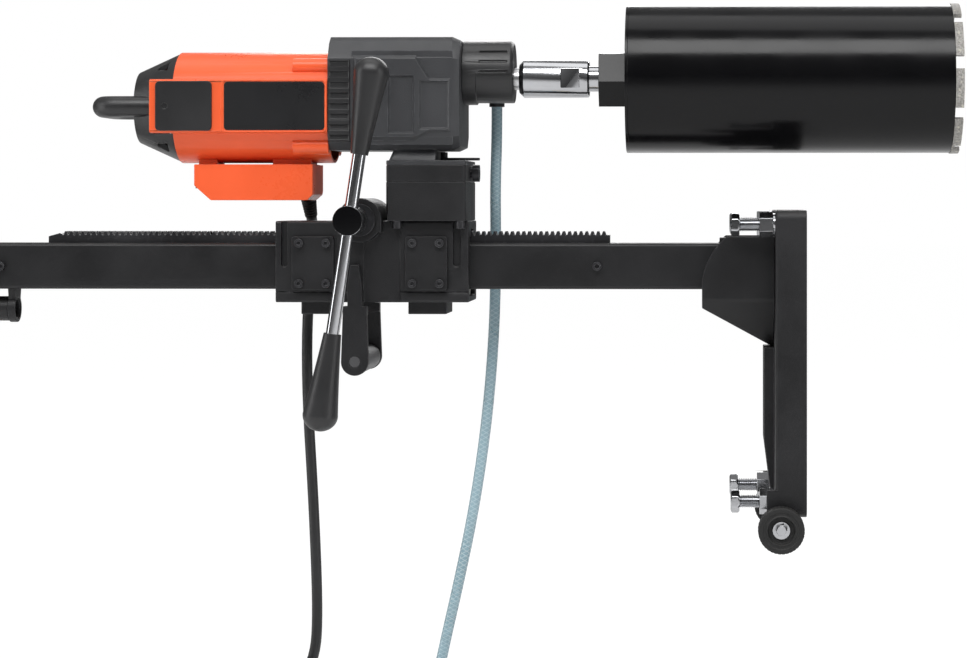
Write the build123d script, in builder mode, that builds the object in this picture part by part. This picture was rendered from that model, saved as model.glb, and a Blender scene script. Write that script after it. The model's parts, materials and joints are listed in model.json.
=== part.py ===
from build123d import *

import os
from math import acos, atan2, cos, degrees, hypot, pi, radians, sin, sqrt, tan

# Core drill rig, set up for drilling into a wall. All sizes are in millimetres.
# +X is the feed direction, towards the wall. +Z is up. The operator stands on the -Y side.
# The origin is the centre of the base plate's wall side, on the wall's surface.

# ---- driving dimensions -------------------------------------------------------------------
# base plate
base_length = 325.0
base_width = 200.0
base_depth = 33.0
base_wall = 6.0
base_corner = 10.0
rib_rise = 11.0
rib_width = 64.0
anchor_slot_width = 18.0
anchor_slot_length = 110.0

# column and rack
column_size = 50.0
column_wall = 4.0
column_corner = 4.0
column_length = 967.0
column_z = 101.3
rack_module = 2.0
rack_width = 20.0
rack_teeth = 98
rack_start = -212.0
rack_root_height = 8.8
rack_addendum = 1.6
pinion_teeth = 14

# carriage
carriage_length = 209.0
carriage_x = -467.5
carriage_width = 92.0
carriage_bottom = 62.7
carriage_top = 150.6
pinion_x = -479.3

# drill motor
motor_z = 274.5
spindle_z = 306.0
motor_radius = 60.7
motor_wall = 3.5
motor_rear = -682.0
motor_front = -514.0

# drill bit
bit_diameter = 162.0
bit_wall = 3.0
bit_rear = -190.5
bit_front = 159.0
segment_count = 9
segment_arc = 30.0
segment_length = 9.0
segment_side = 1.0

# cords
mains_diameter = 12.0
hose_diameter = 12.0
floor_z = -400.0

# clearances
slide_gap = 0.1
running_gap = 0.05
loose_gap = 0.3
backlash = 0.22

# ---- sizes that follow ---------------------------------------------------------------------
base_top = -base_depth
column_end = base_top - column_length
column_half = column_size / 2
column_top = column_z + column_half
column_bottom = column_z - column_half
rack_root = column_top + rack_root_height
rack_pitch = rack_module * pi
rack_pitch_z = rack_root + 1.25 * rack_module
pinion_radius = rack_module * pinion_teeth / 2
pinion_z = rack_pitch_z + pinion_radius
carriage_left = carriage_x - carriage_length / 2
carriage_right = carriage_x + carriage_length / 2
carriage_half = carriage_width / 2
bit_radius = bit_diameter / 2

os.makedirs("parts", exist_ok=True)


# ---- shared shapes -------------------------------------------------------------------------
def plane_x(x, y=0.0, z=0.0):
    """Plane facing +X at x: its first direction is +Y and its second is +Z."""
    return Plane(origin=(x, y, z), x_dir=(0, 1, 0), z_dir=(1, 0, 0))


def plane_front(y, x=0.0, z=0.0):
    """Plane facing -Y at y: its first direction is +X and its second is +Z."""
    return Plane(origin=(x, y, z), x_dir=(1, 0, 0), z_dir=(0, -1, 0))


def plane_up(z, x=0.0, y=0.0):
    """Plane facing +Z at z: its first direction is +X and its second is +Y."""
    return Plane(origin=(x, y, z), x_dir=(1, 0, 0), z_dir=(0, 0, 1))


def disc(plane, radius, length, mode=Mode.ADD):
    """Round bar from a plane, along its normal."""
    with BuildSketch(plane) as profile:
        Circle(radius)
    extrude(profile.sketch, amount=length, mode=mode)


def block(plane, width, height, length, corner=0.0, mode=Mode.ADD):
    """Rectangular bar with rounded corners from a plane, along its normal."""
    with BuildSketch(plane) as profile:
        if corner > 0:
            RectangleRounded(width, height, corner)
        else:
            Rectangle(width, height)
    extrude(profile.sketch, amount=length, mode=mode)


def hexagon(plane, across_flats, length, mode=Mode.ADD, turn=0.0):
    """Six-sided bar from a plane, along its normal."""
    with BuildSketch(plane) as profile:
        RegularPolygon(across_flats / 2, 6, major_radius=False, rotation=turn)
    extrude(profile.sketch, amount=length, mode=mode)


def outline(plane, points, length, mode=Mode.ADD):
    """Straight-sided bar with the outline of the given points, along the plane's normal."""
    with BuildSketch(plane) as profile:
        with BuildLine():
            Polyline(*points, close=True)
        make_face()
    extrude(profile.sketch, amount=length, mode=mode)


def socket_screw(plane, head_radius, head, shank_radius, shank, key):
    """Socket head cap screw: the head stands on the plane, and the shank goes below it."""
    disc(plane, head_radius, head)
    disc(plane, shank_radius, -shank)
    hexagon(plane.offset(head), key, -head / 2, mode=Mode.SUBTRACT)


def gear_points(module, teeth, addendum, turn):
    """Outline of a spur gear: involute flanks, thinned by the backlash, and a radial root."""
    pitch_radius = module * teeth / 2
    base_radius = pitch_radius * cos(radians(20))
    root_radius = pitch_radius - 1.25 * module
    tip_radius = pitch_radius + addendum
    half_tooth = pi / 2 / teeth - backlash / pitch_radius
    pitch_spread = tan(radians(20)) - radians(20)
    flank = [(root_radius, half_tooth + pitch_spread + 0.02)]
    low_radius = max(base_radius, root_radius + 0.2)
    for step in range(5):
        radius = low_radius + (tip_radius - low_radius) * step / 4
        pressure = acos(min(1.0, base_radius / radius))
        flank.append((radius, half_tooth + pitch_spread - (tan(pressure) - pressure)))
    points = []
    for tooth in range(teeth):
        middle = radians(turn) + 2 * pi * tooth / teeth
        for radius, angle in flank:
            points.append((radius * cos(middle - angle), radius * sin(middle - angle)))
        for radius, angle in reversed(flank):
            points.append((radius * cos(middle + angle), radius * sin(middle + angle)))
    return points


def corner_radii(points):
    """Largest arc for each corner of a cord: 0.45 of its shorter run over the half turn's tangent."""
    radii = []
    for before, here, after in zip(points, points[1:], points[2:]):
        run_in = Vector(*here) - Vector(*before)
        run_out = Vector(*after) - Vector(*here)
        half_turn = radians(run_in.get_angle(run_out)) / 2
        radii.append(0.45 * min(run_in.length, run_out.length) / tan(half_turn))
    return radii


# ---- stand: base plate ---------------------------------------------------------------------
foot_y = base_width / 2 - 20.0
foot_z = 147.0
foot_radius = 7.0
foot_boss = 12.0
foot_spots = [(-foot_y, foot_z), (foot_y, foot_z), (-foot_y, -foot_z), (foot_y, -foot_z)]
rib_top = 13.7
rib_bottom = -148.0
rib_taper = 62.0
axle_x = -27.5
axle_z = -173.4
axle_radius = 6.0
ear_radius = 15.0
ear_thick = 8.0
foot_bore = foot_radius + running_gap

with BuildPart() as base_plate:
    block(plane_x(base_top), base_width, base_length, base_depth, base_corner)
    fillet(base_plate.faces().sort_by(Axis.X)[0].edges(), radius=3.0)
    inner_width = base_width - 2 * base_wall
    inner_length = base_length - 2 * base_wall
    block(plane_x(base_top + base_wall), inner_width, inner_length, base_depth, base_corner / 2,
          mode=Mode.SUBTRACT)
    for y, z in foot_spots:
        disc(plane_x(base_top + base_wall, y, z), foot_boss, base_depth - base_wall - 6)
    rib_outline = [
        (base_top + 1, rib_top),
        (base_top - rib_rise, rib_top),
        (base_top - rib_rise, rib_bottom + rib_taper),
        (base_top - rib_rise / 3, rib_bottom + 4),
        (base_top + 1, rib_bottom),
    ]
    outline(plane_front(rib_width / 2), rib_outline, rib_width)
    for side in (-1, 1):
        ear_face = side * base_width / 2
        with BuildSketch(plane_front(ear_face)):
            with Locations((axle_x, axle_z)):
                Circle(ear_radius)
            with Locations((axle_x, axle_z + 20)):
                Rectangle(2 * ear_radius, 40)
            with Locations((0, axle_z + 20)):
                Rectangle(4, 80, mode=Mode.SUBTRACT)
        extrude(amount=side * ear_thick)
        disc(plane_front(ear_face, axle_x, axle_z), axle_radius, side * ear_thick, mode=Mode.SUBTRACT)
    slot_z = (rib_top + rib_bottom) / 2
    with BuildSketch(plane_x(base_top - rib_rise - 1, 0, slot_z)):
        SlotOverall(anchor_slot_length, anchor_slot_width, rotation=90)
    extrude(amount=base_depth + rib_rise + 2, mode=Mode.SUBTRACT)
    for y, z in foot_spots:
        disc(plane_x(base_top - 1, y, z), foot_bore, base_depth + 2, mode=Mode.SUBTRACT)
base_plate.part.label = "base_plate"
export_step(base_plate.part, "parts/base_plate.step")

# ---- stand: bracket that braces the column on the base ---------------------------------------
gusset_half = 60.0
gusset_wall = 4.0
gusset_top = 134.0
gusset_fold = 65.0
gusset_floor = 14.0
gusset_floor_half = 16.0
gusset_reach = 78.0
tab_length = 14.0
tab_half = 15.0

with BuildPart() as gusset_bracket:
    outer = [
        (-gusset_half, gusset_top), (-gusset_half, gusset_fold), (-gusset_floor_half, gusset_floor),
        (gusset_floor_half, gusset_floor), (gusset_half, gusset_fold), (gusset_half, gusset_top),
    ]
    slope = gusset_wall * 1.414
    inner = [
        (-gusset_half + gusset_wall, gusset_top + 1), (-gusset_half + gusset_wall, gusset_fold + 2),
        (-gusset_floor_half + 1, gusset_floor + slope), (gusset_floor_half - 1, gusset_floor + slope),
        (gusset_half - gusset_wall, gusset_fold + 2), (gusset_half - gusset_wall, gusset_top + 1),
    ]
    outline(plane_x(base_top - gusset_reach), outer, gusset_reach)
    fillet(gusset_bracket.edges().filter_by(Axis.X).group_by(Axis.Z)[1], radius=9.0)
    outline(plane_x(base_top - gusset_reach - 1), inner, gusset_reach + 2, mode=Mode.SUBTRACT)
    # side profile: a curved upper edge that leans back, and a straight lower edge up to the tip
    with BuildSketch(plane_front(gusset_half + 1)):
        with BuildLine():
            tip = (base_top - gusset_reach, gusset_fold - 8)
            fold_end = (base_top - gusset_reach, gusset_fold + 2)
            shoulder = (base_top - 52.0, gusset_top)
            Line((base_top, gusset_floor - 1), tip)
            Line(tip, fold_end)
            ThreePointArc(fold_end, (base_top - gusset_reach + 5.5, gusset_top - 28), shoulder)
            Line(shoulder, (base_top, gusset_top))
            Line((base_top, gusset_top), (base_top, gusset_floor - 1))
        make_face()
    extrude(amount=2 * gusset_half + 2, mode=Mode.INTERSECT)
    # bridge over the column, with a rounded tongue that rests on it
    bridge_z = column_top + 1.0
    bridge_length = 45.0
    bridge_x = base_top - bridge_length
    block(plane_up(bridge_z, base_top - bridge_length / 2), bridge_length, 2 * gusset_half - gusset_wall, 5.0)
    with BuildSketch(plane_up(bridge_z)):
        with Locations((bridge_x - tab_length / 2 + 2, 0)):
            RectangleRounded(tab_length + 4, 2 * tab_half, 4.0)
    extrude(amount=5.0)
gusset_bracket.part.label = "gusset_bracket"
export_step(gusset_bracket.part, "parts/gusset_bracket.step")

# ---- stand: column, end cap, rack and their screws -----------------------------------------
stop_positions = (-225.0, -876.0)
stop_radius = 3.0
rack_length = rack_teeth * rack_pitch
rack_end = rack_start - rack_length
rack_screw_radius = 2.5
rack_screws_x = [rack_start - rack_length * (0.08 + 0.21 * step) for step in range(5)]
cap_insert = 14.0
cap_plate = 4.0

with BuildPart() as column:
    block(plane_x(column_end, 0, column_z), column_size, column_size, column_length, column_corner)
    inner_size = column_size - 2 * column_wall
    block(plane_x(column_end - 1, 0, column_z), inner_size, inner_size, column_length + 2,
          mode=Mode.SUBTRACT)
    for x in stop_positions:
        disc(plane_front(-column_half + column_wall + 1, x, column_z), stop_radius, column_wall + 2,
             mode=Mode.SUBTRACT)
    for x in rack_screws_x:
        disc(plane_up(column_top - column_wall - 1, x), rack_screw_radius, column_wall + 2,
             mode=Mode.SUBTRACT)
column.part.label = "column"
export_step(column.part, "parts/column.step")

with BuildPart() as column_end_cap:
    block(plane_x(column_end - cap_plate, 0, column_z), column_size, column_size, cap_plate, column_corner)
    fillet(column_end_cap.faces().sort_by(Axis.X)[0].edges(), radius=2.0)
    insert_size = column_size - 2 * column_wall - 2 * slide_gap
    block(plane_x(column_end, 0, column_z), insert_size, insert_size, cap_insert)
column_end_cap.part.label = "column_end_cap"
export_step(column_end_cap.part, "parts/column_end_cap.step")

tooth_base = rack_pitch / 2 + 2 * 1.25 * rack_module * tan(radians(20)) - 2 * backlash
tooth_tip = rack_pitch / 2 - 2 * rack_addendum * tan(radians(20)) - 2 * backlash
rack_tip = rack_pitch_z + rack_addendum
# a tooth gap stands under the pinion's lowest tooth
first_tooth = pinion_x + rack_pitch / 2 + rack_pitch * int((rack_start - pinion_x) / rack_pitch - 1)
teeth_cut = int((first_tooth - rack_end) / rack_pitch) - 1
rack_outline = [(rack_start, column_top), (rack_start, rack_root)]
for tooth in range(teeth_cut):
    middle = first_tooth - rack_pitch * tooth
    rack_outline += [
        (middle + tooth_base / 2, rack_root), (middle + tooth_tip / 2, rack_tip),
        (middle - tooth_tip / 2, rack_tip), (middle - tooth_base / 2, rack_root),
    ]
last_tooth = first_tooth - rack_pitch * teeth_cut
rack_outline += [(last_tooth, rack_root + 2.0), (rack_end, rack_root - 1.5), (rack_end, column_top)]
rack_head_radius = 4.25
rack_head = 4.8
rack_seat = rack_root - 0.6 - rack_head

with BuildPart() as rack:
    outline(plane_front(rack_width / 2), rack_outline, rack_width)
    for x in rack_screws_x:
        disc(plane_up(column_top - 1, x), rack_screw_radius, 20, mode=Mode.SUBTRACT)
        disc(plane_up(rack_seat, x), rack_head_radius + slide_gap, 20, mode=Mode.SUBTRACT)
rack.part.label = "rack"
export_step(rack.part, "parts/rack.step")

with BuildPart() as column_screws:
    for x in stop_positions:
        socket_screw(plane_front(-column_half, x, column_z), 4.9, 6.0, stop_radius - running_gap, 9.0, 5.0)
    for x in rack_screws_x:
        depth = rack_seat - column_top + column_wall
        socket_screw(plane_up(rack_seat, x), rack_head_radius, rack_head,
                     rack_screw_radius - running_gap, depth, 4.0)
column_screws.part.label = "column_screws"
export_step(column_screws.part, "parts/column_screws.step")

# ---- stand: carry handle under the column's far end -----------------------------------------
grip_z = 54.0
grip_ring_radius = 15.0
grip_radius = 13.5
grip_bore = 10.0
spigot_radius = 11.5
bracket_thick = 8.0
bracket_lefts = (-872.0, -996.0)
grip_left = bracket_lefts[1] + bracket_thick
grip_length = bracket_lefts[0] - grip_left

with BuildPart() as carry_handle_brackets:
    for x in bracket_lefts:
        bracket = [(-13, column_bottom), (-8, grip_z), (8, grip_z), (13, column_bottom)]
        outline(plane_x(x), bracket, bracket_thick)
        disc(plane_x(x, 0, grip_z), grip_ring_radius, bracket_thick)
        disc(plane_x(x, 0, grip_z), spigot_radius, bracket_thick, mode=Mode.SUBTRACT)
carry_handle_brackets.part.label = "carry_handle_brackets"
export_step(carry_handle_brackets.part, "parts/carry_handle_brackets.step")

with BuildPart() as carry_handle_grip:
    disc(plane_x(grip_left, 0, grip_z), grip_radius, grip_length)
    fillet(carry_handle_grip.edges().filter_by(GeomType.CIRCLE), radius=1.5)
    spigot = bracket_thick - 1.0
    disc(plane_x(grip_left - spigot, 0, grip_z), spigot_radius, grip_length + 2 * spigot)
    disc(plane_x(grip_left - 20, 0, grip_z), grip_bore, grip_length + 40, mode=Mode.SUBTRACT)
carry_handle_grip.part.label = "carry_handle_grip"
export_step(carry_handle_grip.part, "parts/carry_handle_grip.step")

# ---- stand: wheels ----------------------------------------------------------------------------
wheel_radius = 24.5
wheel_inner = base_width / 2 + 4.0
wheel_width = 20.0
wheel_recess = 8.0
wheel_recess_radius = 14.5
wheel_edge = 3.0
spacer_radius = 9.0
flange_radius = 9.4
wheel_hub_face = wheel_inner + wheel_width - wheel_recess

for name, side in (("wheel_near", -1), ("wheel_far", 1)):
    with BuildPart() as wheel:
        disc(plane_front(side * wheel_inner, axle_x, axle_z), wheel_radius, -side * wheel_width)
        fillet(wheel.edges().filter_by(GeomType.CIRCLE), radius=wheel_edge)
        disc(plane_front(side * wheel_hub_face, axle_x, axle_z), wheel_recess_radius, -side * wheel_width,
             mode=Mode.SUBTRACT)
        disc(plane_front(0, axle_x, axle_z), axle_radius + running_gap, -side * 2 * wheel_inner,
             mode=Mode.SUBTRACT)
    wheel.part.label = name
    export_step(wheel.part, f"parts/{name}.step")

with BuildPart() as wheel_bolts:
    for side in (-1, 1):
        inner_end = side * (base_width / 2 - ear_thick)
        flange_face = side * (wheel_hub_face + loose_gap)
        shank = wheel_hub_face + loose_gap - abs(inner_end)
        disc(plane_front(inner_end, axle_x, axle_z), axle_radius, -side * shank)
        disc(plane_front(flange_face, axle_x, axle_z), flange_radius, -side * 1.7)
        hexagon(plane_front(flange_face + side * 1.7, axle_x, axle_z), 10.0, -side * 3.5)
    for side in (-1, 1):
        face = side * base_width / 2
        gap = wheel_inner - loose_gap - base_width / 2
        with BuildSketch(plane_front(face, axle_x, axle_z)):
            Circle(spacer_radius)
            Circle(axle_radius + running_gap, mode=Mode.SUBTRACT)
        extrude(amount=-side * gap)
wheel_bolts.part.label = "wheel_bolts"
export_step(wheel_bolts.part, "parts/wheel_bolts.step")

# ---- stand: levelling screws ---------------------------------------------------------------------
head_left = -80.6
head_length = 9.5
head_flats = 21.0
foot_tip = -2.0
nut_flats = 24.0
nut_left = -49.8
nut_right = -35.6
foot_names = ("levelling_screw_upper_near", "levelling_screw_upper_far",
              "levelling_screw_lower_near", "levelling_screw_lower_far")

for name, (y, z) in zip(foot_names, foot_spots):
    with BuildPart() as foot:
        hexagon(plane_x(head_left, y, z), head_flats, head_length, turn=30)
        disc(plane_x(head_left + head_length, y, z), foot_radius, foot_tip - head_left - head_length)
        chamfer(foot.faces().sort_by(Axis.X)[-1].edges(), length=2.5)
    foot.part.label = name
    export_step(foot.part, f"parts/{name}.step")

with BuildPart() as levelling_nuts:
    for y, z in foot_spots:
        hexagon(plane_x(nut_left, y, z), nut_flats, nut_right - nut_left, turn=30)
        disc(plane_x(nut_right, y, z), foot_boss, base_top - nut_right)
        disc(plane_x(nut_left - 1, y, z), foot_bore, 30, mode=Mode.SUBTRACT)
levelling_nuts.part.label = "levelling_nuts"
export_step(levelling_nuts.part, "parts/levelling_nuts.step")

# ---- carriage: housing that runs on the column ---------------------------------------------------
pad_thick = 7.0
passage_half = column_half + pad_thick
rack_slot_half = rack_width / 2 + 4.0
rack_slot_top = rack_tip + 2.5
boss_radius = 23.7
boss_front = -60.0
boss_back = 40.0
pinion_width = 18.0
cavity_radius = pinion_radius + rack_addendum + 2.0
cavity_half = pinion_width / 2 + 2.0
shaft_radius = 8.0
sleeve_radius = 13.0
blind_depth = 20.0
block_split_left = -476.0
block_split_right = -437.0
plate_centres = (-530.8, -408.3)
plate_width = 45.5
plate_height = 58.0
plate_thick = 6.0
plate_z = 105.0
plate_screw_x = 14.7
plate_screw_z = 21.8
plate_screw_radius = 2.5
plate_screw_depth = 8.0
slot_spots = ((-562.4, 6.5), (-375.7, 8.0))

with BuildPart() as carriage_housing:
    middle_z = (carriage_bottom + carriage_top) / 2
    block(plane_x(carriage_left, 0, middle_z), carriage_width, carriage_top - carriage_bottom,
          carriage_length, 3.0)
    split_middle = (block_split_left + block_split_right) / 2
    for side in (-1, 1):
        # recessed middle section, seam groove and end slots on each side
        face = side * carriage_half
        block(plane_front(face, split_middle, middle_z), block_split_right - block_split_left, 200,
              side * 3.0, mode=Mode.SUBTRACT)
        block(plane_front(face, carriage_x, carriage_bottom + 11.3), carriage_length + 2, 0.9, side * 1.0,
              mode=Mode.SUBTRACT)
        for x, width in slot_spots:
            with BuildSketch(plane_front(face, x, 131.0)):
                SlotOverall(60, width, rotation=90)
            extrude(amount=side * 5.0, mode=Mode.SUBTRACT)
    boss_plane = plane_front(boss_back, pinion_x, pinion_z)
    disc(boss_plane, boss_radius, boss_back - boss_front)
    block(plane_front(boss_back, pinion_x, (carriage_top + pinion_z) / 2 - 6), 2 * boss_radius,
          pinion_z - carriage_top + 12, boss_back - boss_front + 0.0)
    # passage for the column, the rack and the pinion
    block(plane_x(carriage_left - 1, 0, column_z), 2 * passage_half, 2 * passage_half,
          carriage_length + 2, mode=Mode.SUBTRACT)
    slot_low = column_z + passage_half - 1
    block(plane_x(carriage_left - 1, 0, (slot_low + rack_slot_top) / 2), 2 * rack_slot_half,
          rack_slot_top - slot_low, carriage_length + 2, mode=Mode.SUBTRACT)
    disc(plane_front(cavity_half, pinion_x, pinion_z), cavity_radius, 2 * cavity_half, mode=Mode.SUBTRACT)
    block(plane_front(cavity_half, pinion_x, rack_slot_top), 2 * cavity_radius, 16, 2 * cavity_half,
          mode=Mode.SUBTRACT)
    disc(plane_front(0, pinion_x, pinion_z), sleeve_radius, 100, mode=Mode.SUBTRACT)
    disc(plane_front(0, pinion_x, pinion_z), shaft_radius + running_gap, -cavity_half - blind_depth,
         mode=Mode.SUBTRACT)
    for side in (-1, 1):
        for x in plate_centres:
            with BuildSketch(plane_front(side * carriage_half, x, plate_z)):
                with GridLocations(2 * plate_screw_x, 2 * plate_screw_z, 2, 2):
                    Circle(plate_screw_radius)
            extrude(amount=side * plate_screw_depth, mode=Mode.SUBTRACT)
carriage_housing.part.label = "carriage_housing"
export_step(carriage_housing.part, "parts/carriage_housing.step")

with BuildPart() as guide_covers:
    for side in (-1, 1):
        for x in plate_centres:
            with BuildSketch(plane_front(side * carriage_half, x, plate_z)):
                RectangleRounded(plate_width, plate_height, 3.0)
                with GridLocations(2 * plate_screw_x, 2 * plate_screw_z, 2, 2):
                    Circle(plate_screw_radius, mode=Mode.SUBTRACT)
            extrude(amount=-side * plate_thick)
guide_covers.part.label = "guide_covers"
export_step(guide_covers.part, "parts/guide_covers.step")

# plastic pads between the column's sides and the housing, at both ends
pad_length = 40.0
pad_width = 36.0
top_pad_width = 9.5
pad_inner = column_half + slide_gap
pad_height = passage_half - slide_gap - pad_inner
pad_centres = (carriage_left + pad_length / 2 + 4, carriage_right - pad_length / 2 - 4)

with BuildPart() as slide_pads:
    for x in pad_centres:
        left_face = x - pad_length / 2
        for side in (-1, 1):
            middle = side * (pad_inner + pad_height / 2)
            block(plane_x(left_face, middle, column_z), pad_height, pad_width, pad_length)
            top_z = column_z + pad_inner + pad_height / 2
            block(plane_x(left_face, side * (column_half - top_pad_width / 2 - 0.5), top_z), top_pad_width,
                  pad_height, pad_length)
        block(plane_x(left_face, 0, column_z - pad_inner - pad_height / 2), pad_width, pad_height, pad_length)
slide_pads.part.label = "slide_pads"
export_step(slide_pads.part, "parts/slide_pads.step")

shoe_spots = ((-529.7, 33.0), (-409.0, 41.6))
shoe_height = 13.2
shoe_width = 66.0

with BuildPart() as slide_shoes:
    for x, length in shoe_spots:
        low = carriage_bottom - shoe_height
        block(plane_up(low, x), length, shoe_width, shoe_height, 2.0)
slide_shoes.part.label = "slide_shoes"
export_step(slide_shoes.part, "parts/slide_shoes.step")

# ---- carriage: lower handle --------------------------------------------------------------------
handle_x = -484.5
handle_z = -1.0
handle_leg_radius = 14.8
handle_leg_thick = 8.0
handle_leg_face = 59.0
handle_leg_top = 59.0
handle_collar_low = 49.0
handle_root_half = 7.85
handle_root_shoulder = 81.0
handle_root_tip = 103.5
handle_rod_radius = 6.0

with BuildPart() as handle_legs:
    for side in (-1, 1):
        outer_face = side * handle_leg_face
        with BuildSketch(plane_front(outer_face)):
            with Locations((handle_x, handle_z)):
                Circle(handle_leg_radius)
            with BuildLine():
                Polyline(
                    (handle_x - handle_leg_radius, handle_z), (handle_x + handle_leg_radius, handle_z),
                    (handle_x + 13.0, handle_collar_low), (handle_x - 13.0, handle_collar_low),
                    close=True,
                )
            make_face()
        extrude(amount=side * handle_leg_thick)
        root_outline = [
            (handle_x - 13.0, handle_collar_low), (handle_x - 13.0, handle_leg_top),
            (handle_x - handle_root_half, handle_leg_top), (handle_x - handle_root_half, handle_root_shoulder),
            (handle_x - 4.5, handle_root_tip), (handle_x + 4.5, handle_root_tip),
            (handle_x + handle_root_half, handle_root_shoulder), (handle_x + handle_root_half, handle_leg_top),
            (handle_x + 13.0, handle_leg_top), (handle_x + 13.0, handle_collar_low),
        ]
        outline(plane_front(outer_face), root_outline, side * (handle_leg_face - carriage_half))
        disc(plane_front(outer_face, handle_x, handle_z), handle_rod_radius, side * handle_leg_thick,
             mode=Mode.SUBTRACT)
handle_legs.part.label = "handle_legs"
export_step(handle_legs.part, "parts/handle_legs.step")

with BuildPart() as handle_grip:
    grip_half = handle_leg_face - handle_leg_thick
    disc(plane_front(grip_half, handle_x, handle_z), 14.0, 2 * grip_half)
    fillet(handle_grip.edges().filter_by(GeomType.CIRCLE), radius=2.0)
    disc(plane_front(handle_leg_face, handle_x, handle_z), handle_rod_radius, 2 * handle_leg_face)
handle_grip.part.label = "handle_grip"
export_step(handle_grip.part, "parts/handle_grip.step")

# ---- carriage: mount for the drill ---------------------------------------------------------------
mount_left = -451.0
mount_right = -365.0
mount_half = carriage_half + 11.0
mount_top = 193.0
adapter_top = 211.0
mount_screw_y = carriage_half + 5.9
mount_screw_radius = 3.0
mount_screw_head = 5.0
mount_screw_depth = 24.0
mount_screw_x = (-439.6, -371.1)
side_screw_z = 202.6
side_screw_radius = 5.0
side_screw_head = 9.4
side_screw_depth = 22.0
lever_x = -392.0
lever_y = -20.0
lever_room = 6.0

with BuildPart() as mount_block:
    mount_middle = (mount_left + mount_right) / 2
    mount_length = mount_right - mount_left
    block(plane_up(carriage_top, mount_middle), mount_length, 2 * mount_half, mount_top - carriage_top, 3.0)
    disc(plane_front(mount_half + 1, pinion_x, pinion_z), boss_radius + 6, 2 * mount_half + 2, mode=Mode.SUBTRACT)
    for x in mount_screw_x:
        for side in (-1, 1):
            disc(plane_up(carriage_top - 1, x, side * mount_screw_y), mount_screw_radius,
                 mount_screw_depth + 1, mode=Mode.SUBTRACT)
mount_block.part.label = "mount_block"
export_step(mount_block.part, "parts/mount_block.step")

with BuildPart() as adapter_plate:
    block(plane_up(mount_top, mount_middle), mount_length, 2 * mount_half, adapter_top - mount_top, 4.0)
    disc(plane_x(mount_right + 1, 0, side_screw_z), side_screw_radius, -side_screw_depth - 1, mode=Mode.SUBTRACT)
adapter_plate.part.label = "adapter_plate"
export_step(adapter_plate.part, "parts/adapter_plate.step")

with BuildPart() as carriage_screws:
    for side in (-1, 1):
        for x in plate_centres:
            for grid_x in (-plate_screw_x, plate_screw_x):
                for grid_z in (-plate_screw_z, plate_screw_z):
                    face = side * (carriage_half + plate_thick)
                    screw_plane = plane_front(face, x + grid_x, plate_z + grid_z)
                    if side > 0:
                        screw_plane = Plane(origin=screw_plane.origin, x_dir=(1, 0, 0), z_dir=(0, 1, 0))
                    socket_screw(screw_plane, 4.7, 4.6, plate_screw_radius - running_gap,
                                 plate_thick + plate_screw_depth - 1, 4.0)
    for x in mount_screw_x:
        for side in (-1, 1):
            under = Plane(origin=(x, side * mount_screw_y, carriage_top), x_dir=(1, 0, 0), z_dir=(0, 0, -1))
            socket_screw(under, mount_screw_head, 8.0, mount_screw_radius - running_gap,
                         mount_screw_depth - 1, 5.0)
    socket_screw(plane_x(mount_right + 2.5, 0, side_screw_z), side_screw_head, 7.4,
                 side_screw_radius - running_gap, side_screw_depth, 8.0)
carriage_screws.part.label = "carriage_screws"
export_step(carriage_screws.part, "parts/carriage_screws.step")

# ---- crank: sleeve, pinion shaft, hub, sliding bar and knobs ----------------------------------------
bar_y = -135.0
bar_radius = 7.0
bar_tilt = 8.5
bar_shift = -24.75
bar_half = 183.0
knob_length = 103.0
knob_small = 9.25
knob_large = 18.5
knob_bore_end = 15.0
hub_radius = 15.7
hub_front = -151.0
hub_back = -106.0
shaft_end = -124.0

with BuildPart() as crank_sleeve:
    sleeve_start = -cavity_half - loose_gap
    disc(plane_front(sleeve_start, pinion_x, pinion_z), sleeve_radius - running_gap, -boss_front + sleeve_start)
    disc(plane_front(boss_front, pinion_x, pinion_z), 17.5, 4.0)
    disc(plane_front(0, pinion_x, pinion_z), shaft_radius + running_gap, 100, mode=Mode.SUBTRACT)
crank_sleeve.part.label = "crank_sleeve"
export_step(crank_sleeve.part, "parts/crank_sleeve.step")

with BuildPart() as pinion_shaft:
    tooth_down = gear_points(rack_module, pinion_teeth, rack_addendum, -90)
    outline(plane_front(pinion_width / 2, pinion_x, pinion_z), tooth_down, pinion_width)
    shaft_back = cavity_half + blind_depth - 1
    disc(plane_front(shaft_back, pinion_x, pinion_z), shaft_radius, shaft_back - shaft_end)
pinion_shaft.part.label = "pinion_shaft"
export_step(pinion_shaft.part, "parts/pinion_shaft.step")

bar_direction = Vector(sin(radians(bar_tilt)), 0, cos(radians(bar_tilt)))
hub_centre = Vector(pinion_x, bar_y, pinion_z)


def bar_plane(along, direction=1):
    """Plane across the crank bar, at a distance along it from the hub's centre."""
    return Plane(origin=hub_centre + bar_direction * along, x_dir=(0, 1, 0), z_dir=bar_direction * direction)


with BuildPart() as crank_hub:
    disc(plane_front(hub_back, pinion_x, pinion_z), hub_radius, hub_back - hub_front)
    chamfer(crank_hub.edges().filter_by(GeomType.CIRCLE), length=1.0)
    disc(plane_front(hub_back + 1, pinion_x, pinion_z), shaft_radius, hub_back + 1 - shaft_end,
         mode=Mode.SUBTRACT)
    disc(bar_plane(-40), bar_radius + running_gap, 80, mode=Mode.SUBTRACT)
crank_hub.part.label = "crank_hub"
export_step(crank_hub.part, "parts/crank_hub.step")

with BuildPart() as crank_bar:
    disc(bar_plane(bar_shift - bar_half), bar_radius, 2 * bar_half)
crank_bar.part.label = "crank_bar"
export_step(crank_bar.part, "parts/crank_bar.step")

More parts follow.
